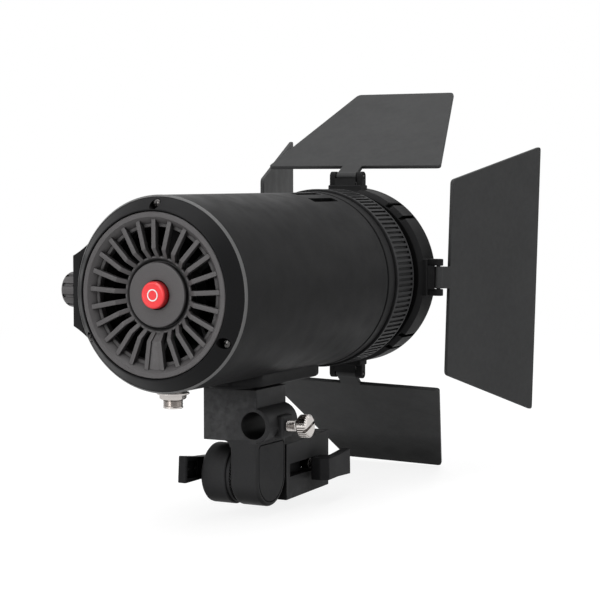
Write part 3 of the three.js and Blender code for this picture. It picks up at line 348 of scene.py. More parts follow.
def finish_of(name, dark, pale, rough, grain, bump, metallic=0.0, edge_wear_and_highlight=0.0, coat=0.0,
              sheen=0.25, hollow=0.85):
    """A finish with a slow drift of colour and gloss, a fine grain in mm, and edges lightened
    partly by wear and partly as a painted highlight.
    Shade is painted into its colour in hollows, where little light gets in."""
    made = bpy.data.materials.new(name)
    made.use_nodes = True
    nodes, links = made.node_tree.nodes, made.node_tree.links
    shader = nodes["Principled BSDF"]
    shader.inputs["Metallic"].default_value = metallic
    shader.inputs["Specular IOR Level"].default_value = sheen
    shader.inputs["Coat Weight"].default_value = coat
    shader.inputs["Coat Roughness"].default_value = 0.12
    place = nodes.new("ShaderNodeTexCoord")

    def noise(size, detail):
        field = nodes.new("ShaderNodeTexNoise")
        field.inputs["Scale"].default_value = 1 / (size * mm)
        field.inputs["Detail"].default_value = detail
        links.new(place.outputs["Object"], field.inputs["Vector"])
        return field.outputs["Fac"]

    def ranged(value, low, high, start=0.3, end=0.7):
        stretch = nodes.new("ShaderNodeMapRange")
        stretch.inputs["From Min"].default_value = start
        stretch.inputs["From Max"].default_value = end
        stretch.inputs["To Min"].default_value = low
        stretch.inputs["To Max"].default_value = high
        links.new(value, stretch.inputs["Value"])
        return stretch.outputs["Result"]

    def mixed(share, under, over):
        mix = nodes.new("ShaderNodeMix")
        mix.data_type = "RGBA"
        links.new(share, mix.inputs["Factor"])
        if isinstance(under, tuple):
            mix.inputs["A"].default_value = (*under, 1)
        else:
            links.new(under, mix.inputs["A"])
        mix.inputs["B"].default_value = (*over, 1)
        return mix.outputs["Result"]

    def combined(how, one, other):
        both = nodes.new("ShaderNodeMath")
        both.operation = how
        links.new(one, both.inputs[0])
        links.new(other, both.inputs[1])
        return both.outputs[0]

    speck = noise(grain, detail=2)
    drift = noise(size=34, detail=3)
    share = combined("ADD", ranged(drift, low=0, high=0.55), ranged(speck, low=0, high=0.45))
    colour = mixed(share, dark, pale)
    # Convex edges turn paler, partly as wear and partly as a painted highlight.
    if edge_wear_and_highlight:
        pale_edge_colour = tuple(min(1, 2.2 * c + 0.03) for c in pale)
        edge = nodes.new("ShaderNodeNewGeometry").outputs["Pointiness"]
        on_edges = ranged(edge, low=0, high=edge_wear_and_highlight, start=0.53, end=0.62)
        in_places = ranged(noise(size=2.5, detail=4), low=0.2, high=1)
        colour = mixed(combined("MULTIPLY", on_edges, in_places), colour, pale_edge_colour)
    # Painted shade: the colour goes towards black where ambient occlusion finds other surfaces
    # near, and hollow sets how far.
    if hollow:
        occlusion_for_shade = nodes.new("ShaderNodeAmbientOcclusion")
        occlusion_for_shade.samples = 8
        occlusion_for_shade.inputs["Distance"].default_value = 20 * mm
        depth = ranged(occlusion_for_shade.outputs["AO"], low=hollow, high=0, start=0.3, end=0.85)
        colour = mixed(depth, colour, (0.001, 0.001, 0.001))
    links.new(colour, shader.inputs["Base Color"])
    gloss = ranged(noise(size=9, detail=4), low=rough - 0.05, high=rough + 0.06)
    links.new(gloss, shader.inputs["Roughness"])
    texture = nodes.new("ShaderNodeBump")
    texture.inputs["Strength"].default_value = bump
    texture.inputs["Distance"].default_value = 0.05 * mm
    links.new(speck, texture.inputs["Height"])
    links.new(texture.outputs["Normal"], shader.inputs["Normal"])
    return made


past = 1
tilt_y = 51.2
pivot = (0, tilt_y, 0)
block_half, block_rear, block_front = 12.5, -0.8, 38.1
spigot_radius, socket_depth, mouth_radius = 8.1, 30, 8.9
ear_start, ear_end, ear_radius = 2.5, 14.3, 12.4
lever_bed_x = 10.8
bolt_hole_radius = 3.3
lever_seat = (-block_half, 16.9, 0.5)
stop_x, stop_y = -6, 27.6
cast_black = finish_of(
    "cast_black", dark=(0.032, 0.032, 0.033), pale=(0.042, 0.042, 0.043),
    rough=0.42, grain=0.45, bump=0.5, edge_wear_and_highlight=0.4, sheen=0.04,
)
side = [
    (-block_half, block_rear, -11.3), (-block_half, block_rear, 12.8),
    (-block_half, block_front, 11.3), (-block_half, block_front, -12.2),
]
casting = broken_edges(plate("casting", side, (2 * block_half, 0, 0)), 0.5, 3)
web = broken_edges(block((2.56, 31.2, -11.36), (12.44, tilt_y, 11.36)), 0.7, 3)
ear = spun(
    "ear", pivot, "X",
    [(0, ear_start), (11.8, ear_start), (12.2, 2.7), (ear_radius, 3.1), (ear_radius, 12.6),
     (12.2, 13.4), (11.6, 14), (10.8, ear_end), (0, ear_end)],
    120,
)
tooth_bed = cross_rod(1.1, 3, pivot, 11.6, 96)
worked(casting, [web, ear, tooth_bed], "UNION")
lever_bed = cross_rod(lever_bed_x, ear_end + past, pivot, 8.8, 64)
bolt_hole = cross_rod(-1, 15, pivot, bolt_hole_radius)
socket = spun(
    "socket", (0, 0, 0), "Y",
    [(0, -2), (mouth_radius, -2), (mouth_radius, block_rear), (spigot_radius, 0),
     (spigot_radius, socket_depth), (0, socket_depth)],
    96,
)
lever_hole = cross_rod(-block_half - past, 0, lever_seat, 2.25)
grip_slot = block((-block_half - past, 6.2, -2.75), (-8.8, 35.2, 2.75))
stop_hole = rod((stop_x, stop_y, -12.4), (stop_x, stop_y, 0), 1.9, 32)
worked(casting, [lever_bed, bolt_hole, socket, lever_hole, grip_slot, stop_hole])
shaded(casting, 25)
fitted(casting, "adapter_casting", "stand_adapter", cast_black, "cast_black", "receiver_body")

tooth_count, tooth_half, tooth_spread = 60, 0.36, 1.7
tooth_foot, tooth_crest = 1.2, 0.66
tooth_start, tooth_length = 57.8, 4.8
tooth_side = [
    (tooth_foot, tooth_start, -tooth_half), (tooth_crest, tooth_start, 0),
    (tooth_foot, tooth_start, tooth_half),
]
tooth = plate("tooth", tooth_side, (0, tooth_length, 0))
for corner in tooth.data.vertices:
    if corner.co.y > (tooth_start + tooth_length / 2) * mm:
        corner.co.z *= tooth_spread
turns = [
    turned_about(pivot, "X", radians(360 / tooth_count * i)) for i in range(1, tooth_count)
]
teeth = welded([tooth, *[copied(tooth, turn) for turn in turns]], "teeth")
fitted(shaded(teeth, 20), "ear_teeth", "stand_adapter", cast_black, "cast_black")


# A slotted black-nickel screw under the block stops the spigot; it is turned from bar and its head
# shows a little below the casting.
black_nickel = finish_of(
    "black_nickel", dark=(0.045, 0.043, 0.043), pale=(0.085, 0.082, 0.08),
    rough=0.24, grain=0.25, bump=0.15, metallic=1.0,
)
head_low, head_top, head_radius = -12.9, -11.7, 2.75
stem_top, stem_radius = -8.4, 1.6
stop_screw = spun(
    "stop_screw", (stop_x, stop_y, 0), "Z",
    [(0, head_low), (2.1, -12.8), (2.6, -12.5), (head_radius, -12.1), (head_radius, head_top),
     (stem_radius, head_top), (stem_radius, stem_top), (0, stem_top)],
    48,
)
slot_half, slot_reach, slot_top = 0.55, 3.8, -12.3
slot = block(
    (stop_x - slot_reach, stop_y - slot_half, head_low - past),
    (stop_x + slot_reach, stop_y + slot_half, slot_top),
)
shaded(worked(stop_screw, [slot]), 30)
fitted(
    stop_screw, "adapter_stop_screw", "stand_adapter", black_nickel, "black_nickel",
    "receiver_screw",
)


# The two clamp levers are the same moulding, hollow inside with two core-pin stubs, pressed on a
# nickelled stud. One hangs from the block's side and the other sits in the ear.
moulded_black = finish_of(
    "moulded_black", dark=(0.016, 0.016, 0.017), pale=(0.023, 0.023, 0.024),
    rough=0.42, grain=0.35, bump=0.4, edge_wear_and_highlight=0.35, sheen=0.05,
)
bright_nickel = finish_of(
    "bright_nickel", dark=(0.46, 0.43, 0.41), pale=(0.62, 0.59, 0.57),
    rough=0.2, grain=0.3, bump=0.12, metallic=1.0, hollow=0.35,
)


def clamp_lever(offset):
    """The handle in its own frame: the stud towards +X, the handle towards -Y, pivot at zero."""
    half_height, tip_spread, spare = 4.7, 0.9, 2
    low, high = offset - half_height, offset + half_height
    flare = plate(
        "flare",
        [(0, 4, low), (0, -8, low), (0, -21, low - tip_spread), (0, -21, high + tip_spread),
         (0, -8, high), (0, 4, high)],
        (-11, 0, 0),
    )
    low, high = low - spare, high + spare
    handle = plate(
        "handle",
        [(-1.9, 3.1, low), (-1.9, -4.5, low), (-5.4, -6.8, low), (-5.4, -19.4, low),
         (-6, -20, low), (-8.9, -20, low), (-9.6, -19.3, low), (-9.6, 1.2, low),
         (-6.3, 3.1, low)],
        (0, 0, high - low),
    )
    worked(handle, [flare], "INTERSECT")
    rim = spare + 1.1
    pocket = block((-7.6, -18.9, low + rim), (-4.3, -7.8, high - rim))
    broken_edges(handle, 0.8, 4, 25)
    broken_edges(pocket, 0.4, 1)
    shaded(worked(handle, [pocket]), 30)
    stubs = [cross_rod(-7.9, -6.5, (0, y, offset), 0.75, 20) for y in (-10.6, -15.9)]
    return welded([handle, *[broken_edges(stub, 0.2, 1) for stub in stubs]], "handle")


def stud(start, end):
    """A threaded stud along X."""
    pitch, valley, crest, tip = 0.7, 2.06, 2.2, 1.7
    ridges = [(0, start), (valley, start)]
    for i in range(int((end - start) / pitch)):
        ridges += [(crest, start + pitch * i + 0.2), (valley, start + pitch * i + 0.55)]
    return shaded(spun("stud", (0, 0, 0), "X", [*ridges, (tip, end), (0, end)], 32), 60)


to_block = moved(lever_seat) @ Matrix.Rotation(radians(-2), 4, "X")
to_ear = (
    moved((lever_bed_x, tilt_y, 0))
    @ Matrix.Rotation(radians(4), 4, "X")
    @ Matrix.Rotation(pi, 4, "Z")
)
# Painted shade: the length of the nickelled stud inside the block's slot is given black nickel, for
# the shade there.
stand_handle, stand_stud, stand_stud_shaded_end = clamp_lever(-1.8), stud(-2.4, -0.1), stud(-0.2, 4.1)
tilt_handle, tilt_stud = clamp_lever(1.8), stud(-2.4, -0.3)
for pieces, place in (
    ((stand_handle, stand_stud, stand_stud_shaded_end), to_block),
    ((tilt_handle, tilt_stud), to_ear),
):
    for piece in pieces:
        piece.data.transform(place)
fitted(
    stand_handle, "stand_lever_handle", "stand_lever", moulded_black, "cast_black", "stand_lever"
)
fitted(stand_stud, "stand_lever_stud", "stand_lever", bright_nickel, "bright_nickel")
fitted(stand_stud_shaded_end, "stand_lever_thread", "stand_lever", black_nickel, "black_nickel")
fitted(tilt_handle, "tilt_lever_handle", "tilt_lever", moulded_black, "cast_black", "tilt_lever")
fitted(tilt_stud, "tilt_lever_stud", "tilt_lever", bright_nickel, "bright_nickel")


# The bracket is a second casting: a neck under the barrel, a tube across it for an umbrella's
# shaft, and an arm that tilts on the ear. Its corners are soft and its seat is machined flat.
tube_x, tube_z, tube_radius, shaft_radius = -10.8, 22, 7.4, 5.6
arm_left, arm_right = -12.47, 0.1
thumb_axis = (0, tilt_y, 21)
cap_screw_y = {"front": 44.7, "rear": 57.7}
neck = broken_edges(block((-12.5, 38.8, 14.2), (12.45, 63.6, 36.6)), 0.45, 3)
arm = block((arm_left, 38.83, 0), (arm_right, 63.57, 24))
arm_end = cross_rod(arm_left, arm_right, pivot, 12.37, 96)
worked(arm, [arm_end], "UNION")
broken_edges(arm, 1.3, 5)
neck_foot = block((-2, 37, 10), (13, 65, 15.2))
fillet_x, fillet_z, fillet_radius = 2.7, 12.6, 2.6
hollow = rod((fillet_x, 36, fillet_z), (fillet_x, 66, fillet_z), fillet_radius, 64)
fillet = block((-1, 38.86, fillet_z), (fillet_x, 63.54, 15.4))
worked(fillet, [hollow])
worked(neck, [neck_foot])
umbrella_tube = rod((tube_x, 38.81, tube_z), (tube_x, 63.59, tube_z), tube_radius, 96)
screw_pad = block((-20.3, 46.55, 16.35), (tube_x, 55.85, 25.65))
broken_edges(umbrella_tube, 0.7, 4)
broken_edges(screw_pad, 1.1, 4)
worked(neck, [arm, fillet, umbrella_tube, screw_pad], "UNION")
shaft_hole = rod((tube_x, 37.8, tube_z), (tube_x, 64.6, tube_z), shaft_radius, 96)
screw_thread = cross_rod(-21.3, tube_x, thumb_axis, 2.3, 32)
bolt_hole = cross_rod(-12.5, 1.1, pivot, bolt_hole_radius)
head_hole = cross_rod(-13.5, -7.5, pivot, 5.8)
seat_holes = [rod((0, y, 24.9), (0, y, 37.9), 2.3, 24) for y in cap_screw_y.values()]


def half_oval(x, y, across, along, steps):
    """Points round half an oval about a middle, from the end of its width that across gives."""
    return [
        (x + across * cos(pi * i / steps), y + along * sin(pi * i / steps))
        for i in range(steps + 1)
    ]


def cover_outline(out, x):
    """The arm's cover: flat on top with cut corners, round below."""
    half, top, corner = 10.6 + out, 13.5 + out, 1.2
    low, high = tilt_y - half, tilt_y + half
    round_end = [(x, y, z) for y, z in half_oval(tilt_y, 0, half, -(10.4 + out), 36)]
    return [*round_end, (x, low, top - corner), (x, low + corner, top),
            (x, high - corner, top), (x, high, top - corner)]


recess = plate("recess", cover_outline(0.3, -13.5), (2.7, 0, 0))
worked(neck, [shaft_hole, screw_thread, bolt_hole, head_hole, *seat_holes, recess])
shaded(neck, 25)
fitted(neck, "bracket_casting", "light", cast_black, "cast_black", "bracket")

between_teeth = turned_about((0.6, tilt_y, 0), "Z", pi) @ turned_about(pivot, "X", radians(3))
fitted(copied(teeth, between_teeth), "arm_teeth", "light", cast_black, "cast_black")


# The bolt that the arm turns on is a hexagon screw from a rod, sunk in the arm, and a moulded
# cover snaps in over its head, flush with the casting.
arm_cover = broken_edges(plate("cover", cover_outline(0, -12.5), (1.4, 0, 0)), 0.25, 2)
fitted(arm_cover, "arm_cover_plate", "light", moulded_black, "black_plastic", "arm_cover")
bolt = cross_rod(-10.5, -7.8, pivot, 5.5, 6)
worked(bolt, [cross_rod(-9.5, lever_bed_x, pivot, 3, 40)], "UNION")
broken_edges(bolt, 0.3, 2, 50)
fitted(bolt, "tilt_pivot_bolt", "light", black_nickel, "black_nickel", "tilt_bolt")


# Two cap screws go down from inside the barrel into the bracket's neck. They are turned from bar
# and have a hexagon socket in the head.
head_top, head_low, head_radius = 41.7, 39.5, 3.5
stem_low, stem_radius = 25.2, 2
for place in ("rear", "front"):
    y = cap_screw_y[place]
    cap_screw = spun(
        "cap_screw", (0, y, 0), "Z",
        [(0, head_top), (2.9, head_top), (head_radius, 41.2), (head_radius, head_low),
         (stem_radius, head_low), (stem_radius, stem_low), (0, stem_low)],
        48,
    )
    worked(cap_screw, [rod((0, y, 40.3), (0, y, head_top + past), 1.7, 6)])
    fitted(
        shaded(cap_screw, 30), f"bracket_cap_screw_{place}", "light", black_nickel, "black_nickel",
        f"bracket_screw_{place}",
    )


# The umbrella screw is a nickelled thumb screw: a threaded shank and a head that is straight
# knurled, chamfered and slotted for a coin. It leans a little in the play of its thread.
knurls, crest, valley = 28, 4.7, 3.95
knurl_start, knurl_length = -30.4, 4.5
ring_of = []
for i in range(knurls):
    for share, reach in ((0, crest), (0.5, crest), (0.66, valley), (0.84, valley)):
        angle = 2 * pi * (i + share) / knurls
        y, z = thumb_axis[1] + reach * cos(angle), thumb_axis[2] + reach * sin(angle)
        ring_of.append((knurl_start, y, z))
thumb_head = plate("thumb_head", ring_of, (knurl_length, 0, 0))
chamfers = spun(
    "chamfers", thumb_axis, "X",
    [(0, -31), (3.1, -31), (3.7, -30.4), (4.25, -30), (5.2, -29.5), (5.2, -26.9), (3.5, -25.2),
     (0, -25.2)],
    96,
)
worked(thumb_head, [chamfers], "INTERSECT")
coin_slot = block((-31.4, 45.2, 20.4), (-28.8, 57.2, 21.6))
coin_slot.data.transform(turned_about(thumb_axis, "X", radians(-20)))
worked(thumb_head, [coin_slot])
shaded(thumb_head, 25)
pitch, crest, valley, thread_start = 0.65, 2.15, 1.75, -23.6
shank = [(0, -26.4), (2.4, -26.4), (2.4, -24.6), (2.2, -24.4), (1.7, -24.4), (1.7, -23.9)]
for i in range(10):
    shank += [(crest, thread_start + pitch * i), (valley, thread_start + pitch * (i + 0.5))]
shank += [(1.5, -16.9), (0, -16.9)]
thumb_shank = shaded(spun("shank", thumb_axis, "X", shank, 48), 60)
thumb_screw = welded([thumb_head, thumb_shank], "thumb_screw")
lean = turned_about((-18.425, tilt_y, 21), "Y", radians(3.5))
thumb_screw.data.transform(lean)
fitted(
    thumb_screw, "umbrella_thumb_screw", "umbrella_screw", bright_nickel, "bright_nickel",
    "umbrella_screw",
)


# The barrel is an aluminium tube, anodised black; its control pod, its saddle and the bosses for
# the bezel's screws are one piece with it. Lengths run ahead from its rear edge, and heights and
# widths from the middle of the beam.
rear_edge, beam = 115.6, 77.5
tube_bore, barrel_end = 35.5, 122.2
screw_circle, pocket_angles = 34, (0, 120, 240)
knob_ahead, mode_ahead, jack_ahead = 12.2, 27, 8.5
anodised_black = finish_of(
    "anodised_black", dark=(0.014, 0.014, 0.0145), pale=(0.019, 0.019, 0.0195),
    rough=0.42, grain=0.3, bump=0.35, edge_wear_and_highlight=0.1, sheen=0.025,
)
# Painted shade: the bezel is anodised with the barrel but coloured darker, to stand in for the
# shade on it.
bezel_black_painted_shade = finish_of(
    "bezel_black_painted_shade", dark=(0.006, 0.006, 0.0065), pale=(0.01, 0.01, 0.0105),
    rough=0.4, grain=0.3, bump=0.3, edge_wear_and_highlight=0.25, sheen=0.07,
)


def in_light(x, ahead, z):
    return (x, rear_edge - ahead, beam + z)


def round_beam(angle):
    """Turns about the beam, clockwise as seen from behind the light."""
    return turned_about((0, 0, beam), "Y", radians(-angle))


def turned(name, profile, steps=144):
    """A piece turned about the beam, from its (radius, ahead) half section."""
    section = [(radius, rear_edge - ahead) for radius, ahead in profile]
    return spun(name, (0, 0, beam), "Y", section, steps)


def ahead_rod(radius, near, far, z=0, sides=48):
    return rod(in_light(0, near, z), in_light(0, far, z), radius, sides)


def light_block(low, high):
    """A block between two (x, ahead, z) corners of the light."""
    (x0, near, z0), (x1, far, z1) = low, high
    return block(in_light(x0, far, z0), in_light(x1, near, z1))


def curve(start, bend, end, steps):
    """Even steps from start to end, drawn towards bend, in numbers or in vectors."""
    return [
        (1 - t) ** 2 * start + 2 * t * (1 - t) * bend + t**2 * end
        for t in [i / steps for i in range(steps + 1)]
    ]


barrel = turned(
    "barrel",
    [(0, 0.3), (37.1, 0.3), (37.5, 0.7), (37.9, 121.9), (37.6, barrel_end), (0, barrel_end)],
)
merge_angle, merge_radius, pod_face = radians(42), 37.5, 41.9
merge_x, merge_z = merge_radius * cos(merge_angle), merge_radius * sin(merge_angle)
waist = zip(curve(merge_x, 35.6, pod_face, 16), curve(merge_z, 16.8, 13.75, 16))
half_pod = [(18.7, merge_z), *waist]
pod_outline = half_pod + [(x, -z) for x, z in reversed(half_pod)]
pod = plate("pod", [in_light(x, 3, z) for x, z in pod_outline], (0, -60, 0))
nose_plan = ((pod_face, 56), (37.9, 63), (37.9, 64), (43, 64), (43, 56))
nose = plate("nose", [in_light(x, ahead, -30) for x, ahead in nose_plan], (0, 0, 60))
worked(pod, [nose])
broken_edges(pod, 0.5, 2, 40)
saddle_half, saddle_low, saddle_height = 12.4, -40.6, 7.1
saddle_plan = [
    *half_oval(0, 58, -saddle_half, -13.4, 24), *half_oval(0, 103, saddle_half, 14, 24)
]
saddle_foot = [in_light(x, ahead, saddle_low) for x, ahead in saddle_plan]
saddle = plate("saddle", saddle_foot, (0, 0, saddle_height))
broken_edges(saddle, 1.2, 4, 40)
worked(barrel, [pod, saddle], "UNION")

bore = ahead_rod(tube_bore, -past, barrel_end + past, sides=144)
pod_well = light_block((29, 4.6, -11.5), (39.7, 56, 11.5))
half_recess = ((29, 12.3), (37.1, 12.3), (38.2, 11.7), (38.7, 10.4))
recess_outline = [(x, -z) for x, z in half_recess] + list(reversed(half_recess))
d_recess = plate("d_recess", [in_light(x, 2, z) for x, z in recess_outline], (0, -2, 0))
pod_inside, pod_outside = 29, pod_face + past
knob_hole = cross_rod(pod_inside, pod_outside, in_light(0, knob_ahead, 0), 3.3)
button_hole = cross_rod(pod_inside, pod_outside, in_light(0, mode_ahead, 0), 3.5)
window = light_block((40.5, 34.7, -8.3), (pod_outside, 57.3, 8.3))
jack_hole = rod(in_light(0, jack_ahead, -38.5), in_light(0, jack_ahead, -1), 4.2)
worked(barrel, [bore, pod_well, d_recess, knob_hole, button_hole, window, jack_hole])
vent = light_block((-1.85, 95, 34.5), (1.85, 117.5, 38.9))
broken_edges(vent, 0.6, 3, 40)
vents = repeated(vent, [round_beam(angle) for angle in (10, 23.2, -10, -23.2)])
seats = []
for y in (cap_screw_y["rear"], cap_screw_y["front"]):
    seats += [
        rod((0, y, beam - 38.3), (0, y, beam - 34.5), 3.8),
        rod((0, y, beam - 41.6), (0, y, beam - tube_bore), 2.3, 32),
    ]
worked(barrel, [*vents, *seats])
boss = ahead_rod(2.4, 4.3, 13.3, z=screw_circle)
worked(boss, [ahead_rod(1.3, 3.3, 14.3, z=screw_circle, sides=24)])
worked(barrel, repeated(boss, [round_beam(angle) for angle in pocket_angles]), "UNION")
fitted(shaded(barrel, 30), "barrel_shell", "light", anodised_black, "satin_black", "barrel_housing")


# The bezel is turned to a cone and anodised with the barrel, and coloured darker than it as painted
# shade; its spigot centres it in the bore and three round pockets take the screws' heads. A pale
# grey ring on its broken edge is a painted highlight.
bezel_bore, bezel_face, bezel_spigot, bezel_end = 31.6, -5.8, 35.2, 4
bezel = turned(
    "bezel",
    [(bezel_bore, -5.5), (31.8, bezel_face), (32, bezel_face), (32.3, -5.65), (36.7, -0.9),
     (37.1, -0.4), (37.5, 0), (bezel_spigot, 0.01), (bezel_spigot, 3.7), (34.9, bezel_end),
     (bezel_bore, bezel_end)],
    192,
)
for angle in pocket_angles:
    pocket = ahead_rod(2.1, -6.8, -1.2, z=screw_circle)
    clearance = ahead_rod(1.3, -5.8, 5, z=screw_circle, sides=24)
    for cutter in (pocket, clearance):
        cutter.data.transform(round_beam(angle))
    worked(bezel, [pocket, clearance])
fitted(shaded(bezel, 25), "bezel_cone", "light", bezel_black_painted_shade, "satin_black", "rear_bezel")
# Painted highlight: a pale grey ring on the bezel's rounded edge stands in for light glancing off
# it.
painted_edge_highlight = finish_of(
    "painted_edge_highlight", dark=(0.1, 0.1, 0.1), pale=(0.15, 0.15, 0.15),
    rough=0.35, grain=0.3, bump=0.1, sheen=0.1,
)
bright_edge = turned(
    "bright_edge", [(36.8, -0.95), (37.2, -0.62), (37.55, -0.1), (37.55, 0.25), (36.8, 0.25)], 192
)
fitted(shaded(bright_edge, 40), "bezel_bright_edge", "light", painted_edge_highlight, "satin_black")


# Three black-nickel pan heads with cross recesses hold the bezel to the barrel's bosses. Their
# heads are formed cold and their plain shanks stand for the thread, which no side shows.
head_radius, head_under, shank_radius = 1.8, -1.5, 0.98
cross_half, cross_reach, cross_start, cross_end = 0.2, 0.95, -3.2, -1.9
screw = turned(
    "screw",
    [(0, -2.8), (0.9, -2.75), (1.5, -2.5), (head_radius, -2.1), (head_radius, head_under),
     (shank_radius, head_under), (shank_radius, 11.2), (0, 12.2)],
    40,
)
screw.data.transform(moved((0, 0, screw_circle)))
cross = [
    light_block((-across, cross_start, screw_circle - up), (across, cross_end, screw_circle + up))
    for across, up in ((cross_half, cross_reach), (cross_reach, cross_half))
]
shaded(worked(screw, cross), 30)
places = ("top", "right", "left")
bezel_screws = repeated(screw, [round_beam(angle) for angle in pocket_angles])
for place, bezel_screw in zip(places, bezel_screws):
    fitted(
        bezel_screw, f"bezel_cross_screw_{place}", "light", black_nickel, "black_nickel",
        f"bezel_screw_{place}",
    )


# The grille is one moulding in grey plastic: a sloping ring, 25 ribs that bend and drop towards
# the middle, the hub that holds the button's disc, and a panel that closes the lowest opening.
grille_grey = finish_of(
    "grille_grey", dark=(0.062, 0.059, 0.06), pale=(0.08, 0.076, 0.077),
    rough=0.44, grain=0.4, bump=0.4, edge_wear_and_highlight=0.2,
)
rib_count, rib_half, hub_hole = 25, 0.95, 5.4
rib_turn = 360 / rib_count
rib_outside, rib_bend, rib_inside = 28.5, 17.5, 13.6
rim = turned(
    "rim",
    [(29.1, -5.55), (29.35, bezel_face), (31, bezel_face), (31.3, -5.5), (31.3, 0), (25.6, 0),
     (25.6, -2.6), (25.8, -2.8), (26.9, -2.8), (27.1, -3.3)],
    192,
)
rib_side = (
    (rib_outside, -5), (rib_bend, -5), (rib_inside, -1.7), (rib_inside, 0.7), (rib_bend, -2.6),
    (rib_outside, -2.6),
)
rib_face = [in_light(-rib_half, ahead, height) for height, ahead in rib_side]
rib = plate("rib", rib_face, (2 * rib_half, 0, 0))
broken_edges(rib, 0.28, 2, 20)
ribs = repeated(rib, [round_beam(rib_turn * i) for i in range(rib_count)])
hub = turned(
    "hub",
    [(hub_hole, 2), (14.7, 2), (14.7, -1.6), (14.4, -1.9), (13.9, -1.9), (13.5, -1.6),
     (12.7, -0.4), (12.45, -0.45), (12.4, -2.3), (12.1, -2.75), (11.7, -2.9), (5.7, -2.9),
     (hub_hole, -2.6)],
    128,
)
panel_half, panel_outside, opening_inside, opening_outside = 5, 28.6, 13, 29
panel_side = (
    (panel_outside, -4.3), (rib_bend, -4.3), (rib_inside, -1), (rib_inside, 1.4),
    (rib_bend, -1.9), (panel_outside, -1.9),
)
panel_face = [in_light(-panel_half, ahead, -height) for height, ahead in panel_side]
panel = plate("panel", panel_face, (2 * panel_half, 0, 0))
half_slot = tan(radians(rib_turn / 2))
wedge_plan = [
    (share * reach * half_slot, -reach)
    for share, reach in (
        (-1, opening_inside), (1, opening_inside), (1, opening_outside), (-1, opening_outside)
    )
]
wedge = plate("wedge", [in_light(x, -7, z) for x, z in wedge_plan], (0, -14, 0))
shaded(worked(panel, [wedge], "INTERSECT"), 20)
for piece in (rim, hub):
    shaded(piece, 25)
fitted(
    welded([rim, hub, panel, *ribs], "grille"), "grille_moulding", "light", grille_grey,
    "grey_plastic", "rear_grille",
)


# The power button is glossy red plastic with a polished rim round its satin face, and a raised
# white ring moulded into it. The switch that it works sits behind the hub.
button_red = finish_of(
    "button_red", dark=(0.76, 0.02, 0.026), pale=(0.86, 0.032, 0.038),
    rough=0.3, grain=0.3, bump=0.1, coat=0.6,
)
mark_white = finish_of(
    "mark_white", dark=(0.78, 0.76, 0.75), pale=(0.86, 0.85, 0.84), rough=0.4, grain=0.2, bump=0.1
)
button_radius, skirt_end, stem_radius, stem_end = 5.2, -1.5, 2.5, 3.4
button = turned(
    "button",
    [(0, -5.75), (3.9, -5.8), (4.2, -5.9), (4.6, -5.85), (5.0, -5.5), (button_radius, -4.9),
     (button_radius, skirt_end), (stem_radius, skirt_end), (stem_radius, stem_end), (0, stem_end)],
    96,
)
fitted(
    shaded(button, 50), "power_button_cap", "power_button", button_red, "red_plastic",
    "power_button",
)
mark = turned("mark", [(1.8, -5.7), (1.85, -5.9), (2.3, -5.9), (2.35, -5.7)], 64)
fitted(shaded(mark, 50), "power_button_ring_mark", "power_button", mark_white, "red_plastic")


# What the barrel holds keeps the frame's own shapes: the switch, the fan's frame and rotor, the
# driver board, the heat sink, and the light source with its board and holder.
dark_plastic = finish_of(
    "dark_plastic", dark=(0.008, 0.008, 0.0085), pale=(0.014, 0.014, 0.015),
    rough=0.45, grain=0.5, bump=0.3, edge_wear_and_highlight=0.2,
)
bare_aluminium = finish_of(
    "bare_aluminium", dark=(0.42, 0.42, 0.43), pale=(0.56, 0.56, 0.57),
    rough=0.34, grain=0.6, bump=0.3, metallic=1.0,
)
board_green = finish_of(
    "board_green", dark=(0.008, 0.05, 0.02), pale=(0.014, 0.085, 0.032),
    rough=0.35, grain=0.8, bump=0.25, coat=0.3,
)
phosphor_yellow = finish_of(
    "phosphor_yellow", dark=(0.72, 0.47, 0.03), pale=(0.82, 0.56, 0.05),
    rough=0.5, grain=0.3, bump=0.2,
)
for finish, nodes_of_it in (
    (dark_plastic, ("power_switch", "fan_frame", "fan_rotor", "cob_holder")),
    (board_green, ("driver_board", "control_board")),
    (bare_aluminium, ("heat_sink", "cob_board")),
    (phosphor_yellow, ("cob_emitter",)),
):
    for node in nodes_of_it:
        bpy.data.objects[node].material_slots[0].material = finish


# The dimmer is a domed plastic knob with ten rounded grooves down its side, on a plain shaft. The
# mode button beside it is a moulded cap, and a dark acrylic window covers the display.
knob_centre, mode_centre = in_light(0, knob_ahead, 0), in_light(0, mode_ahead, 0)
knob = spun(
    "knob", knob_centre, "X",
    [(0, 37.6), (3, 37.6), (3, 42.2), (6.7, 42.2), (7, 42.5), (7, 47.9), (6.9, 48.5),
     (6.4, 49.35), (5.7, 49.9), (4.8, 50.2), (0, 50.25)],
    120,
)
groove_count, groove_radius, groove_out = 10, 0.75, 7.15
groove_start, groove_end = 43.4, 48.2
groove_line = in_light(0, knob_ahead, groove_out)
groove = cross_rod(groove_start, groove_end, groove_line, groove_radius, 24)
end = rod(
    in_light(groove_end, knob_ahead, groove_out - 0.95),
    in_light(groove_end, knob_ahead, groove_out + 1.05),
    groove_radius, 24,
)
start = copied(end, moved((groove_start - groove_end, 0, 0)))
worked(groove, [end, start], "UNION")
groove_turns = [
    turned_about(knob_centre, "X", radians(360 / groove_count * i)) for i in range(groove_count)
]
worked(knob, repeated(groove, groove_turns))
fitted(
    shaded(knob, 35), "dimmer_knob_cap", "dimmer_knob", grille_grey, "grey_plastic", "dimmer_knob"
)
mode_cap = spun(
    "mode_cap", mode_centre, "X",
    [(0, 38.4), (4.2, 38.4), (4.2, 39.4), (3.2, 39.4), (3.2, 42.45), (3.05, 42.7), (2.7, 42.8),
     (1.6, 42.65), (0, 42.6)],
    72,
)
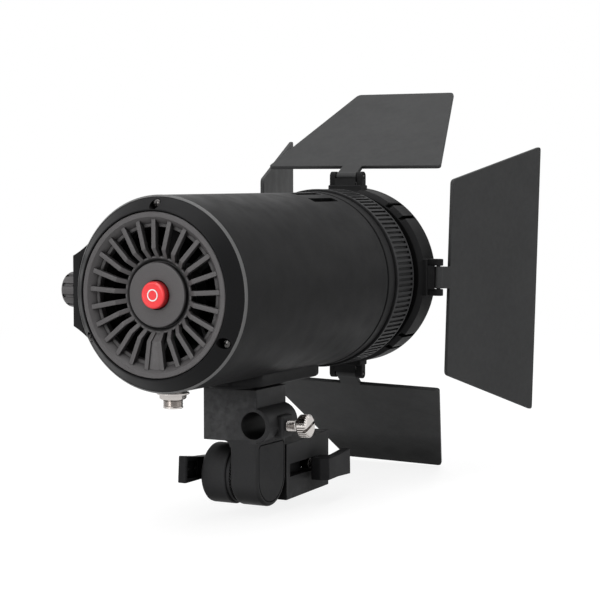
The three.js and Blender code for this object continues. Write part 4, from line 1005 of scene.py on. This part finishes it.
fitted(
    shaded(mode_cap, 35), "mode_button_cap", "mode_button", grille_grey, "grey_plastic",
    "mode_button",
)
window_acrylic = finish_of(
    "window_acrylic", dark=(0.004, 0.004, 0.005), pale=(0.007, 0.007, 0.008),
    rough=0.07, grain=0.4, bump=0.02, coat=0.5,
)
acrylic = light_block((40.8, 35, -8), (pod_face, 57, 8))
broken_edges(acrylic, 0.3, 2)
fitted(acrylic, "display_acrylic", "light", window_acrylic, "dark_window", "display_window")


# The power inlet is a nickelled brass barrel with a fine thread, a socket and a centre pin. It is
# held in the tube's wall by a hexagon nut on a washer.
jack_axis = in_light(0, jack_ahead, 0)
socket_radius, crest, valley, pitch, thread_start = 2.75, 3.9, 3.6, 0.6, -43.45
inlet_low, inlet_top = -43, -32
thread = [(socket_radius, inlet_low), (2.9, -44), (valley, -44), (crest, -43.7)]
for i in range(9):
    thread += [(crest, thread_start + pitch * i), (valley, -43.15 + pitch * i)]
thread += [(crest, -37.9), (crest, inlet_top), (socket_radius, inlet_top)]
inlet = shaded(spun("inlet", jack_axis, "Z", thread, 64), 60)


def upright_rod(low, high, radius, sides):
    """A rod on the inlet's own axis."""
    return rod(in_light(0, jack_ahead, low), in_light(0, jack_ahead, high), radius, sides)


socket_floor = upright_rod(-35, -33, 3, 40)
centre_pin = upright_rod(inlet_low, -34, 1, 24)
broken_edges(centre_pin, 0.4, 2)
inlet = welded([inlet, socket_floor, centre_pin], "inlet")
fitted(inlet, "dc_inlet", "light", bright_nickel, "bright_nickel", "dc_jack")
nut_low, nut_top, washer_low, washer_top = -40.5, -38, -38.6, -37.8
hexagon = upright_rod(nut_low, -38.3, 5.25, 6)
hexagon.data.transform(turned_about(jack_axis, "Z", radians(12)))
washer = spun(
    "washer", jack_axis, "Z",
    [(0, washer_low), (6.1, washer_low), (6.3, -38.4), (6.3, -38), (6.1, washer_top),
     (0, washer_top)],
    72,
)
nut_turned = spun(
    "nut_turned", jack_axis, "Z",
    [(0, nut_low), (4.55, nut_low), (5.3, -40.05), (5.3, nut_top), (0, nut_top)],
    72,
)
worked(hexagon, [nut_turned], "INTERSECT")
worked(hexagon, [washer], "UNION")
worked(hexagon, [upright_rod(nut_low - past, washer_top + past, 4.1, 64)])
fitted(shaded(hexagon, 25), "dc_inlet_nut", "light", bright_nickel, "bright_nickel", "jack_nut")


# The front tube is turned aluminium, anodised: its plug is glued in the barrel, its collar shows
# as a plain band, and both rings turn on the sleeve ahead of it.
sleeve_bore, sleeve_radius, plug_radius, collar_radius = 32.8, 35, 35.2, 38.2
plug_start, collar_start, collar_end, sleeve_end = 118.5, 122.5, 129, 166.6
sleeve = turned(
    "sleeve",
    [(sleeve_bore, plug_start), (plug_radius, plug_start), (plug_radius, collar_start),
     (37.9, collar_start), (collar_radius, 122.8), (collar_radius, 128.7), (37.9, collar_end),
     (sleeve_radius, collar_end), (sleeve_radius, 166.3), (34.7, sleeve_end),
     (sleeve_bore, sleeve_end)],
)
fitted(shaded(sleeve, 25), "front_sleeve", "light", anodised_black, "satin_black", "front_tube")


# The focus ring is moulded in black plastic, with 104 closed grooves between two plain bands for
# the fingers. It turns on the sleeve and moves the lens.
moulded_ring = finish_of(
    "moulded_ring", dark=(0.026, 0.026, 0.027), pale=(0.036, 0.036, 0.037),
    rough=0.42, grain=0.3, bump=0.3, edge_wear_and_highlight=0.4, sheen=0.03,
)
ring_bore, focus_start, focus_end, land_radius = 35.3, 129.3, 146.5, 39.2
groove_count, groove_half = 104, 0.62
focus = turned(
    "focus",
    [(ring_bore, focus_start), (39, focus_start), (39.25, 129.55), (39.25, 130.5),
     (land_radius, 130.6), (land_radius, 145.2), (39.25, 145.3), (39.25, 146.25), (39, focus_end),
     (ring_bore, focus_end)],
    3 * groove_count,
)
dent = light_block((-groove_half, 130.7, 38.5), (groove_half, 145.1, 40))
broken_edges(dent, 0.3, 2)
dents = repeated(dent, [round_beam(360 / groove_count * i) for i in range(groove_count)])
worked(focus, [welded(dents, "dents")])
fitted(
    shaded(focus, 25), "focus_grip_ring", "focus_ring", moulded_ring, "black_plastic", "focus_ring"
)


# The lens is plano-convex glass, its flat side to the light source, held by its rim in a moulded
# carrier that slides in the tube.
carrier_bore, carrier_radius, lens_seat = 28, 32.5, 133
carrier = turned(
    "carrier",
    [(carrier_bore, 131), (32.2, 131), (carrier_radius, 131.3), (carrier_radius, 139.7),
     (32.2, 140), (30.6, 140), (30.3, 139.7), (30.3, lens_seat), (carrier_bore, lens_seat)],
)
fitted(
    shaded(carrier, 25), "lens_carrier_ring", "lens_carrier", dark_plastic, "black_plastic",
    "lens_holder",
)
clear_glass = finish_of(
    "clear_glass", dark=(0.93, 0.96, 0.96), pale=(0.97, 0.99, 0.99),
    rough=0.07, grain=0.8, bump=0.0, hollow=0,
)
glass_shader = clear_glass.node_tree.nodes["Principled BSDF"]
glass_shader.inputs["Transmission Weight"].default_value = 1
glass_shader.inputs["IOR"].default_value = 1.5
lens_radius, lens_rear, lens_rim, lens_rise = 30, 133.3, 136.3, 8
dome = half_oval(0, lens_rim, lens_radius, lens_rise, 48)[:24]
glass = turned(
    "glass",
    [(0, lens_rear), (29.7, lens_rear), (lens_radius, 133.6), *dome, (0, lens_rim + lens_rise)],
)
fitted(shaded(glass, 30), "lens_glass", "lens_carrier", clear_glass, "lens_glass", "lens")


# The barn-door ring is a die casting that snaps over the sleeve. It has a sloping back edge, eight
# slots across it, and four pairs of lugs that carry the doors' pins.
hinge_line = in_light(0, 160.3, 45)
lug_outside, lug_inside, lug_radius, pin_hole = 8.2, 5.2, 2.1, 1.2
lug_foot, lug_top = 37.65, 45
snap_bore, ring_radius, ring_end, stop_end = 32, 39.85, 169.5, 167.1
door_ring = turned(
    "door_ring",
    [(ring_bore, 154.8), (37.7, 154.8), (38.1, 155), (39.6, 156.6), (ring_radius, 157.1),
     (ring_radius, 168.7), (39.6, 169.2), (39.05, ring_end), (32.2, ring_end), (snap_bore, 169.3),
     (snap_bore, stop_end), (ring_bore, stop_end)],
    216,
)
pad = light_block((-lug_outside, 156.6, lug_foot), (lug_outside, 164, 40.95))
broken_edges(pad, 0.5, 3)
lugs = []
for left, right in ((-lug_outside, -lug_inside), (lug_inside, lug_outside)):
    lug = cross_rod(left, right, hinge_line, lug_radius)
    foot = light_block((left, 158.2, lug_foot), (right, 162.4, lug_top))
    worked(lug, [foot], "UNION")
    lugs.append(broken_edges(lug, 0.35, 3))
hinge_wall = light_block((-5.3, 157.5, 40), (5.3, 158.25, 44.1))
worked(pad, [*lugs, hinge_wall], "UNION")
worked(pad, [cross_rod(-lug_outside - past, lug_outside + past, hinge_line, pin_hole, 32)])
worked(door_ring, repeated(pad, [round_beam(90 * i) for i in range(4)]), "UNION")
slit_half, slit_turn, slit_pitch = 0.85, 42, 6.1
slit = light_block((-slit_half, 152.4, 38), (slit_half, 168.1, 40.9))
slit_places = [
    round_beam(base + side * (slit_turn + edge * slit_pitch))
    for base in (0, 180)
    for side in (-1, 1)
    for edge in (-1, 1)
]
worked(door_ring, repeated(slit, slit_places))
fitted(
    shaded(door_ring, 25), "door_ring_casting", "barndoor_ring", anodised_black, "satin_black",
    "barndoor_ring",
)


# Steel pins, blackened and domed at their ends, are pressed through the lugs. One goes through each
# pair, and its door turns on it.
door_turns = {"top": 0, "right": 90, "bottom": 180, "left": 270}
pin_radius, pin_half = 0.9, 8.2
half_pin = [(0, pin_half), (0.5, 8.15), (0.82, 7.9), (pin_radius, 7.6)]
pin_section = [(radius, -x) for radius, x in half_pin] + list(reversed(half_pin))
pin = shaded(spun("pin", hinge_line, "X", pin_section, 32), 50)
door_pins = repeated(pin, [round_beam(angle) for angle in door_turns.values()])
for side, door_pin in zip(door_turns, door_pins):
    fitted(
        door_pin, f"door_pin_{side}", "barndoor_ring", black_nickel, "black_nickel",
        f"hinge_pin_{side}",
    )


# The doors are pressed aluminium leaves, painted matt, each with a neck and a knuckle rolled round
# its pin. Two taper outwards and two flare, and each stands at its own splay.
leaf_paint = finish_of(
    "leaf_paint", dark=(0.042, 0.0425, 0.043), pale=(0.052, 0.0525, 0.053),
    rough=0.5, grain=0.5, bump=0.25, edge_wear_and_highlight=0.3, sheen=0.04,
)
neck_half, neck_end, leaf_tip, inner_half = 4.9, -6.3, -75.3, 43.65
sheet_low, sheet_gauge, knuckle_radius = -0.05, 1.8, 1.9


def round_corner(back, here, on, radius=2, steps=5):
    """The points of a rounded corner between two straight edges."""
    start = Vector(here) + (Vector(back) - Vector(here)).normalized() * radius
    end = Vector(here) + (Vector(on) - Vector(here)).normalized() * radius
    return [tuple(point) for point in curve(start, Vector(here), end, steps)]


for side, splay, droop, outer_half in (
    ("top", 31, 0, 25.25),
    ("right", 13.9, -2.6, 62.65),
    ("bottom", 39.2, -2.3, 25.25),
    ("left", 16.2, -0.4, 62.65),
):
    neck_root = (0, neck_end, sheet_low)
    sheet = [
        (-inner_half, neck_end, sheet_low), (-outer_half, leaf_tip, sheet_low),
        (outer_half, leaf_tip, sheet_low), (inner_half, neck_end, sheet_low),
    ]
    corners = []
    for back, here, on in zip([neck_root, *sheet], sheet, [*sheet[1:], neck_root]):
        corners += round_corner(back, here, on)
    neck_plan = [
        (neck_half, neck_end, sheet_low), (neck_half, 0, sheet_low), (-neck_half, 0, sheet_low),
        (-neck_half, neck_end, sheet_low),
    ]
    leaf = plate("leaf", [*neck_plan, *corners], (0, 0, sheet_gauge))
    broken_edges(leaf, 0.35, 2)
    knuckle = cross_rod(-neck_half, neck_half, (0, 0, 0), knuckle_radius, 40)
    broken_edges(knuckle, 0.2, 2)
    worked(leaf, [knuckle], "UNION")
    worked(leaf, [cross_rod(-6, 6, (0, 0, 0), pin_hole, 32)])
    leaf.data.transform(
        round_beam(door_turns[side])
        @ moved(hinge_line)
        @ Matrix.Rotation(radians(-splay), 4, "X")
        @ Matrix.Rotation(radians(droop), 4, "Z")
    )
    fitted(
        shaded(leaf, 25), f"door_sheet_{side}", f"door_{side}", leaf_paint, "leaf_black",
        f"door_leaf_{side}",
    )
